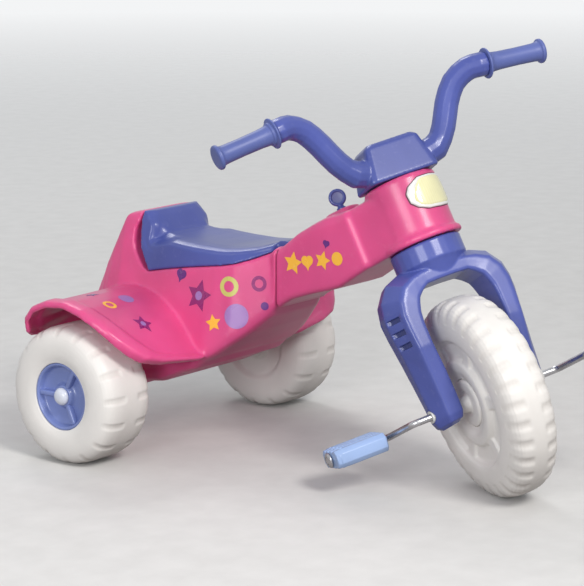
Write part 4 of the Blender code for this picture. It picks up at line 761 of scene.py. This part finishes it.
class RearTyres(bpy.types.Operator):
    """Balloon tyres with short grooves over both shoulders"""

    bl_idname = "tricycle.rear_tyres"
    bl_label = "Rear tyres"

    OUTER = mm(
        (16.5, 5.4, 0), (16.5, 43.9, 0), (39, 43.9, 0.8), (40.4, 47.8, 1.4), (42.2, 53, 3),
        (43, 63, 4), (41.8, 73.5, 4), (38.5, 81.8, 4), (31.5, 87.6, 4), (19, 89.9, 4))
    INNER = [(-along, radius, r) for along, radius, r in reversed(OUTER[5:])] + mm(
        (-42.4, 50, 2), (-35, 43, 2), (-34.6, 21.5, 1), (-42.8, 18, 1), (-43, 5.4, 0))
    SEAM_DEPTH = 0.00035

    def execute(self, context):
        count, deep = sizes().shoulder_grooves, sizes().groove_depth

        def depth_at(along, radius, turn):
            if radius < 0.070:
                return 0.0, 0.0, 0.0
            across = (pulse(abs(along) - 0.0255, 0.0110, 0.0060)
                      * pulse(max(0.0, 0.0790 - radius), 0.0, 0.006))
            groove = across * pulse(phase(turn, count, 0.15), 0.070, 0.080)
            seam = pulse(along, 0.0002, 0.0007) * self.SEAM_DEPTH if radius > 0.085 else 0.0
            return deep * groove + seam, 0.0, groove

        for suffix, side in SIDES:
            bm = turned(self.OUTER + self.INNER, count * 20, 2, 0.0016)
            carve(bm, depth_at)
            piece(bm, "rear_tyre_" + suffix, "rear_" + suffix, "wheel",
                  ["rear_wheel_" + suffix], rear_place(suffix, side), sharp=60)
        return {"FINISHED"}


class RearHubs(bpy.types.Operator):
    """Dished hubs with webs, the domed axle caps, and the axle with its spacers"""

    bl_idname = "tricycle.rear_hubs"
    bl_label = "Rear hubs and axle"

    def execute(self, context):
        dish = mm(
            (17, 5.4, 0), (17, 43.6, 0), (37.8, 43.6, 0.8), (38.6, 41.8, 0.8), (37.2, 39.8, 0.8),
            (29.2, 37.4, 2), (27.2, 30, 2), (26.8, 19, 1.5), (29, 16, 1.2), (34.5, 13.4, 1.2),
            (34.5, 5.4, 0))
        cap = mm(
            (35.1, 5.1, 0), (35.1, 11.2, 0), (37.2, 11.4, 0.8), (40.2, 9.8, 2), (42.6, 6, 2),
            (43.2, 0, 0), (38.6, 0, 0), (38.6, 5.1, 0))
        spacer = mm(
            (0, 5.1, 0), (0, 13, 0.8), (7.4, 13, 0.8), (7.4, 5.1, 0))
        webs = sizes().hub_webs
        for suffix, side in SIDES:
            place = rear_place(suffix, side)
            parts = [turned(dish, 72)]
            for i in range(webs):
                web = block((0.0100, 0.0066, 0.0270), 0.0020, 3, (0.0305, 0.0, 0.0260))
                for vert in web.verts:
                    if vert.co.x > 0.031:
                        vert.co.x += (vert.co.z - 0.026) * 0.07
                bmesh.ops.rotate(web, cent=(0, 0, 0), verts=web.verts,
                                 matrix=Matrix.Rotation(math.tau * (0.25 + i / webs), 3, "X"))
                parts.append(web)
            piece(joined(*parts), "rear_hub_cover_" + suffix, "rear_" + suffix, "hub",
                  ["rear_hub_" + suffix], place)
            piece(turned(cap, 40), "axle_dome_" + suffix, "frame", "cap",
                  ["axle_cap_" + suffix], place)
            piece(turned(spacer, 40), "axle_spacer_ring_" + suffix, "frame", "nylon",
                  ["axle_spacer_" + suffix], place @ Matrix.Translation((-0.0510, 0, 0)))
        low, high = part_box("rear_axle")
        mid = (low + high) / 2
        axle = rod([(low.x, mid.y, mid.z), (high.x, mid.y, mid.z)], (high.z - low.z) / 2, 0.0, 28)
        piece(axle, "rear_axle_rod", "frame", "steel", ["rear_axle"])
        return {"FINISHED"}


# ---- drive


class CrankAndPedals(bpy.types.Operator):
    """Bent crank rod, ridged pedal blocks and their push nuts"""

    bl_idname = "tricycle.crank_and_pedals"
    bl_label = "Crank and pedals"

    PATH = mm(
        (-193, 82, 0), (-108.5, 82, 0), (-102.5, 0, 0), (102.5, 0, 0), (108.5, -82, 0),
        (193, -82, 0))
    CORNER_ROWS = mm((-25.8, -6), (-20.6, -11.8), (-15, -11.8), (-13.8, -10), (-9.6, -10),
                     (-8.4, -12), (-3.4, -12), (-2.2, -10))  # a quarter of the pedal's section
    INNER_END = (-0.0345, 0.93)  # place along, then the section's share there
    STATIONS = [(-0.0325, 1.0), (0.0180, 1.0), (0.0215, 1.0), (0.0255, 1.0), (0.0285, 0.985),
                (0.0300, 0.94), (0.0330, 0.94), (0.0345, 0.90)]
    SLOT_ROW, SLOT_RIM, SLOT_DEPTH = 0.0235, 0.0007, 0.0022
    PEDAL_TILT, NUT_PLACE = 12, 0.0356

    def pedal(self):
        """A block with lengthwise ridges, a stepped outer end and two rows of small slots."""
        half = self.CORNER_ROWS + [(-y, z) for y, z in reversed(self.CORNER_ROWS)]
        outline = half + [(-y, -z) for y, z in half]
        start, share = before = self.INNER_END
        bm = bmesh.new()
        bm.faces.new([bm.verts.new((start, y * share, z * share)) for y, z in outline])
        for along, share in self.STATIONS:
            face = next(f for f in bm.faces if len(f.verts) == len(outline)
                        and all(abs(v.co.x - before[0]) < 1e-6 for v in f.verts))
            out = bmesh.ops.extrude_face_region(bm, geom=[face])
            if before[0] > start:
                bmesh.ops.delete(bm, geom=[face], context="FACES_ONLY")
            verts = only(out["geom"], bmesh.types.BMVert)
            bmesh.ops.scale(bm, vec=(1, share / before[1], share / before[1]), verts=verts)
            bmesh.ops.translate(bm, vec=(along - before[0], 0, 0), verts=verts)
            before = (along, share)
        outwards(bm)
        lands = [f for f in bm.faces if abs(f.calc_center_median().x - self.SLOT_ROW) < 0.001
                 and abs(f.normal.z) > 0.9 and abs(f.calc_center_median().z) > 0.0115]
        bmesh.ops.inset_individual(bm, faces=lands, thickness=self.SLOT_RIM)
        for face in lands:
            bmesh.ops.translate(bm, vec=-face.normal * self.SLOT_DEPTH, verts=face.verts[:])
            # the slot floors take the dark slot finish: painted shade
            face.material_index = 1
        long = [e for e in bm.edges if e.calc_face_angle(0.0) > math.radians(35)
                and not any(f.material_index for f in e.link_faces)]
        rounded(bm, long, 0.0006, 2, clamp=True)
        return bm

    def execute(self, context):
        piece(rod(self.PATH, 0.0044, 0.009), "crank_bar", "drive", "steel",
              ["crank_rod"], STEERED)
        nut = mm(
            (0, 4.7, 0), (0, 9.5, 0.4), (2, 9.5, 0.6), (3.8, 6.8, 0.8), (4, 4.7, 0))
        for suffix, side in SIDES:
            place = basis(JOINTS[f"pedal_{suffix}_turn"]["pos_m"], CRANK_ALONG * side, STEER_UP)
            tilt = Matrix.Rotation(math.radians(self.PEDAL_TILT * side), 4, "X")
            piece(self.pedal(), "pedal_block_" + suffix, "pedal_" + suffix[0], ["pedal", "pedal_slot"],
                  ["pedal_" + suffix], place @ tilt)
            piece(turned(nut, 32), "pedal_nut_" + suffix, "drive", "steel",
                  ["push_nut_" + suffix], place @ Matrix.Translation((self.NUT_PLACE, 0, 0)))
        return {"FINISHED"}


# ---- small fittings


class Fittings(bpy.types.Operator):
    """Toy key, and the finishes of the bearings, pin and stem that stay as they are"""

    bl_idname = "tricycle.fittings"
    bl_label = "Key and bearings"

    KEY_TURN, FACE_RADIUS = 40, 0.0072
    BEARINGS = ("head_bushing_upper", "head_bushing_lower", "axle_bushing_right", "axle_bushing_left")

    def execute(self, context):
        joint = JOINTS["key_turn"]
        up = Vector(joint["axis"])
        turn = Matrix.Rotation(math.radians(self.KEY_TURN), 4, "Z")
        place = basis(joint["pos_m"], (1, 0, 0), up) @ turn
        bow = mm(
            (-3.4, 7.8, 0.4), (-3.4, 10, 0.8), (-1.8, 11.2, 0.8), (1.8, 11.2, 0.8),
            (3.4, 10, 0.8), (3.4, 7.8, 0.4), (1.5, 7, 0.6), (1.5, 0, 0), (-1.5, 0, 0),
            (-1.5, 7, 0.6))
        stem = rod([(0, 0, -0.0405), (0, 0, -0.0085)], 0.0042, 0.0, 20)
        collar = turned(mm((-17, 4.2, 0), (-17, 6.2, 0.6), (-14, 6.2, 0.6), (-12.5, 4.2, 0)), 28)
        bmesh.ops.rotate(collar, cent=(0, 0, 0), matrix=Matrix.Rotation(-math.pi / 2, 3, "Y"),
                         verts=collar.verts)
        disc = turned(bow, 44)
        # the bow's inner disc takes a lighter finish: a painted highlight
        for face in disc.faces:
            face.material_index = math.hypot(*face.calc_center_median().yz) < self.FACE_RADIUS
        piece(joined(disc, stem, collar), "toy_key", "key", ["violet", "key_face"],
              ["ignition_key"], place)
        for node_name in (*self.BEARINGS, "seat_hinge_pin", "steering_stem"):
            materials = frame["nodes"][node_name].data.materials
            materials.clear()
            materials.append(finish("nylon" if node_name in self.BEARINGS else "steel"))
        return {"FINISHED"}


class Headlamp(bpy.types.Operator):
    """Dummy headlamp: a bezel and a fluted lens wrapped round the head"""

    bl_idname = "tricycle.headlamp"
    bl_label = "Headlamp"

    HEAD_RADIUS, MIDDLE = 0.0464, 0.2545
    # right half of each outline on the unrolled head, in millimetres from the middle
    OUTLINE = [(0, 21.4), (18.7, 20.6), (25.8, 17.3), (34.5, 12.5), (39.8, 4.4), (38.5, -7.5),
               (31.0, -15.0), (18.6, -20.2), (0, -21.3)]
    LENS = [(0, 19.4), (17.0, 18.6), (20.5, 16.5), (25.5, 10.5), (31.0, 1.5), (33.2, -7.0),
            (28.0, -14.2), (17.0, -17.0), (0, -17.6)]

    def reach(self, outline, turn):
        """Distance from the lamp's middle to its outline, on the unrolled head."""
        whole = outline + [(-x, y) for x, y in reversed(outline[1:-1])]
        around = sorted((math.atan2(x, y) % math.tau, math.hypot(x, y) / 1000) for x, y in whole)
        around.append((around[0][0] + math.tau, around[0][1]))
        turn %= math.tau
        for (a, one), (b, other) in zip(around, around[1:]):
            if a <= turn <= b:
                wide = b - a
                return (one * other * math.sin(wide)
                        / max(1e-9, other * math.sin(b - turn) + one * math.sin(turn - a)))
        return around[0][1]

    def wrap(self, bm, outline):
        """Lays a disc of radius 1 round the head, stretched to an outline."""
        for vert in bm.verts:
            lift, share = vert.co.x, math.hypot(vert.co.y, vert.co.z)
            turn = math.atan2(vert.co.y, vert.co.z)
            far = self.reach(outline, turn) * share
            angle = far * math.sin(turn) / self.HEAD_RADIUS
            radius = self.HEAD_RADIUS + lift
            vert.co = (-radius * math.sin(angle), -radius * math.cos(angle),
                       self.MIDDLE + far * math.cos(turn))
        outwards(bm)
        return bm

    def execute(self, context):
        high = sizes().lamp_height
        low = -0.0010
        # the gap ring is a dark ring just past the bezel: a painted shadow round the lamp
        gap = [(low, 0, 0), (0.0004, 0, 0), (0.0004, 1.035, 0), (low, 1.035, 0)]
        bezel = [(low, 0, 0), (high * 0.72, 0, 0), (high * 0.72, 0.78, 0), (high, 0.86, 0.05),
                 (high * 0.92, 0.97, 0.02), (high * 0.3, 1.0, 0), (low, 1.0, 0)]
        lens = [(0, 0, 0), (high * 1.35, 0, 0), (high * 1.30, 0.60, 0), (high * 1.15, 0.93, 0.03),
                (high * 0.8, 1.0, 0), (0, 1.0, 0)]
        for name, section, segments, cell, outline, surface in (
            ("lamp_shadow_gap", gap, 2, 0.08, self.OUTLINE, "lamp_gap"),
            ("lamp_bezel", bezel, 3, 0.06, self.OUTLINE, "lamp_rim"),
            ("lamp_lens", lens, 3, 0.06, self.LENS, "lens"),
        ):
            bm = self.wrap(turned(section, 96, segments, cell), outline)
            piece(bm, name, "frame", surface, place=HEAD)
        return {"FINISHED"}


class Stickers(bpy.types.Operator):
    """Plain stars, hearts, rings and dots in vinyl on the frame's sides and fenders"""

    bl_idname = "tricycle.stickers"
    bl_label = "Stickers"

    # tone, shape, size, turn in degrees, then back and up on the rider's right, in millimetres
    HULL_SHEET = (
        ("magenta", "star", 21.5, 8, 179, 210),
        ("lime", "ring", 13, 0, 133, 227),
        ("lilac", "dot", 16, 0, 120, 190),
        ("yellow", "star", 11.5, -14, 150, 179),
        ("purple", "heart", 11.5, 12, 213, 233),
        ("magenta", "ring", 10, 0, 96, 233),
        ("purple", "dot", 5.2, 0, 87, 205),
        ("yellow", "star", 15, 6, 45.5, 265),
        ("yellow", "heart", 12.5, -8, 23, 270),
        ("yellow", "star", 12.5, 12, -2, 274),
        ("yellow", "dot", 8.5, 0, -25, 279),
        ("purple", "heart", 7, 10, -8, 296),
    )
    FENDER_SHEET = (  # the same, but across and back
        ("magenta", "star", 15, 20, 152, 208),
        ("yellow", "ring", 9.5, 0, 172, 247),
        ("lilac", "dot", 10.5, 0, 133, 255),
        ("purple", "star", 9, -6, 162, 288),
    )
    BESIDE, ABOVE = 400, 500  # where the rays onto the frame start
    LIFT, SECOND_LIFT = 0.00012, 0.00034  # off the frame, and off a sticker below

    def reach(self, shape, turn):
        """Distance from a shape's middle to its edge, for a radius of 1."""
        if shape == "star":
            half = math.pi / 5
            local = abs((turn + half) % (2 * half) - half)
            return 0.5 * math.sin(half) / (0.5 * math.sin(half - local) + math.sin(local))
        if shape == "heart":
            s, c = math.sin(turn + math.pi / 2), math.cos(turn + math.pi / 2)
            return (2 - 2 * s + s * math.sqrt(abs(c)) / (s + 1.4)) / 3.0
        return 1.0

    def sticker(self, tree, shape, size, turn_by, spot, onto, lift):
        """One sticker, laid on the frame where a straight line from its spot meets it."""
        point, normal, _, _ = tree.ray_cast(Vector(spot) / 1000, Vector(onto))
        if point is None:
            raise ValueError("a sticker misses the frame")
        up = Vector((0, 0, 1)) if abs(normal.z) < 0.7 else Vector((0, 1, 0))
        across = up.cross(normal).normalized()
        up = normal.cross(across)
        film = sizes().sticker_thickness
        hole = 0.56 if shape == "ring" else 0.0
        section = [(film, hole, 0), (film, 1.0, 0), (0.0, 1.0, 0), (0.0, hole, 0)]
        bm = turned(section, 60, 2, max(0.08, 0.0022 / size))
        for vert in bm.verts:
            turn = math.atan2(vert.co.y, vert.co.z)
            far = size * math.hypot(vert.co.y, vert.co.z) * self.reach(shape, turn)
            turn += math.radians(turn_by)
            over = point + across * far * math.sin(turn) + up * far * math.cos(turn)
            if shape == "heart":
                over += up * size * 0.35
            hit, lean, _, _ = tree.ray_cast(over + normal * 0.02, -normal, 0.05)
            if hit is None:
                hit, lean, _, _ = tree.find_nearest(over)
            vert.co = hit + lean * (lift + vert.co.x)
        outwards(bm)
        return bm

    def execute(self, context):
        shell = bpy.data.objects["frame_moulding"].data
        tree = BVHTree.FromPolygons([v.co for v in shell.vertices],
                                    [p.vertices for p in shell.polygons])
        for suffix, side in SIDES:
            tones = {}
            rows = [(*row[:4], (side * self.BESIDE, *row[4:]), (-side, 0, 0))
                    for row in self.HULL_SHEET]
            rows += [(*row[:4], (side * row[4], row[5], self.ABOVE), (0, 0, -1))
                     for row in self.FENDER_SHEET]
            for tone, shape, size, turn, spot, onto in rows:
                size /= 1000
                film = self.sticker(tree, shape, size, turn * -side, spot, onto, self.LIFT)
                tones.setdefault(tone, []).append(film)
                if (tone, shape) == ("magenta", "star"):
                    dot = self.sticker(tree, "dot", size * 0.27, 0, spot, onto, self.SECOND_LIFT)
                    tones.setdefault("lilac", []).append(dot)
            for tone, parts in tones.items():
                name = f"stickers_{tone}_{suffix}"
                piece(joined(*parts), name, "frame", "vinyl_" + tone)
        return {"FINISHED"}


# ---- stage


class Stage(bpy.types.Operator):
    """Pale floor, plain soft light and the camera"""

    bl_idname = "tricycle.stage"
    bl_label = "Stage"

    BACK, SKY, SKY_STRENGTH = (0.90, 0.91, 0.92), (0.92, 0.95, 1.0), 0.47
    FLOOR_DARK, FLOOR_PALE = (0.72, 0.71, 0.69), (0.77, 0.76, 0.74)
    FLOOR_BOUNCE = (0.24, 0.22, 0.21)
    MIRRORED = 0.50  # share of that background in shiny pieces
    LENS, SENSOR = 142.3, 36.0
    EYE, LOOK, RIGHT = (-2.2565, -1.752145, 0.8159), (0.7589, 0.6188, -0.2028), (0.6318, -0.7751, 0.0)

    def seen(self, n):
        """1 for rays from the camera or through clear pieces, MIRRORED for those off shiny ones."""
        path = n.node("LightPath").outputs
        shiny = n.times(path["Is Glossy Ray"], self.MIRRORED)
        direct = n.total(path["Is Camera Ray"], path["Is Transmission Ray"])
        return n.total(direct, shiny, "MAXIMUM")

    def floor(self):
        """Pale to the camera and dark to the light that it bounces, clear far from the tricycle."""
        bm = bmesh.new()
        bmesh.ops.create_circle(bm, cap_ends=True, radius=14.0, segments=96)
        made = linked("floor", as_mesh("floor", bm))
        f = Finish("pale_floor")
        base = f.tint(f.cloudy(26.0, 5.0, 0.0, 1.0), rgba(self.FLOOR_DARK), rgba(self.FLOOR_PALE))
        base = f.tint(self.seen(f), rgba(self.FLOOR_BOUNCE), base)
        f.tree.links.new(base, f.shader.inputs["Base Color"])
        fixed(f.shader, Roughness=0.9)
        far = f.node("VectorMath", {"operation": "LENGTH"}, _0=f.place).outputs["Value"]
        mix = f.node("MixShader", _0=f.spread(far, 1.2, 7.0, 0.0, 1.0), _1=f.shader.outputs[0],
                     _2=f.node("BsdfTransparent").outputs[0])
        f.tree.links.new(mix.outputs[0], f.tree.nodes["Material Output"].inputs["Surface"])
        made.data.materials.append(f.owner)

    def world(self):
        n = Nodes(bpy.data.worlds.new("sky"))
        bpy.context.scene.world = n.owner
        light = n.tree.nodes["Background"]
        fixed(light, Color=rgba(self.SKY), Strength=self.SKY_STRENGTH)
        back = n.node("Background", Color=rgba(self.BACK), Strength=1.0)
        mix = n.node("MixShader", _0=self.seen(n), _1=light.outputs[0], _2=back.outputs[0])
        n.tree.links.new(mix.outputs[0], n.tree.nodes["World Output"].inputs["Surface"])

    def lamp(self, name, spot, target, size, power, tone=(1, 1, 1)):
        data = bpy.data.lights.new(name, "AREA")
        data.shape = "DISK"
        data.size = size
        data.energy = power
        data.color = tone
        made = linked(name, data)
        made.location = spot
        made.rotation_euler = (Vector(target) - Vector(spot)).to_track_quat("-Z", "Y").to_euler()

    def camera(self):
        data = bpy.data.cameras.new("camera")
        data.sensor_fit = "HORIZONTAL"
        data.sensor_width = self.SENSOR
        data.lens = self.LENS
        made = linked("camera", data)
        right, look = Vector(self.RIGHT).normalized(), Vector(self.LOOK).normalized()
        place = Matrix((right, right.cross(look), -look)).transposed().to_4x4()
        place.translation = self.EYE
        made.matrix_world = place
        bpy.context.scene.camera = made

    def execute(self, context):
        self.floor()
        self.world()
        self.lamp("key", (-0.95, -2.52, 2.42), (0, 0, 0.2), 1.0, 64, (1.0, 0.97, 0.94))
        self.lamp("fill", (-3.0, -0.95, 1.05), (0, 0.1, 0.15), 1.4, 44, (0.97, 0.98, 1.0))
        self.lamp("rim", (1.2, 2.2, 2.9), (0, 0, 0.3), 1.2, 22, (1.0, 1.0, 1.0))
        self.camera()
        bpy.context.scene.view_settings.view_transform = "Standard"
        return {"FINISHED"}


STEPS = (FrameMoulding, SeatMoulding, SteeredMouldings, Grips, FrontWheel, RearTyres, RearHubs,
         CrankAndPedals, Fittings, Headlamp, Stickers, Stage)


class TricyclePanel(bpy.types.Panel):
    """Colours, sizes and the steps that make the tricycle's pieces"""

    bl_idname = "VIEW3D_PT_tricycle"
    bl_label = "Pedal tricycle"
    bl_space_type = "VIEW_3D"
    bl_region_type = "UI"
    bl_category = "Tricycle"

    def draw(self, context):
        for group in (context.scene.tricycle_colours, context.scene.tricycle_sizes):
            column = self.layout.column()
            for key in group.__annotations__:
                column.prop(group, key)
        for step in STEPS:
            self.layout.operator(step.bl_idname)


CLASSES = (TricycleColours, TricycleSizes, *STEPS, TricyclePanel)


def register():
    for each in CLASSES:
        bpy.utils.register_class(each)
    bpy.types.Scene.tricycle_colours = PointerProperty(type=TricycleColours)
    bpy.types.Scene.tricycle_sizes = PointerProperty(type=TricycleSizes)


def unregister():
    del bpy.types.Scene.tricycle_colours
    del bpy.types.Scene.tricycle_sizes
    for each in reversed(CLASSES):
        bpy.utils.unregister_class(each)


def main():
    register()
    for step in STEPS:
        group, name = step.bl_idname.split(".")
        getattr(getattr(bpy.ops, group), name)()


if __name__ == "__main__":
    main()
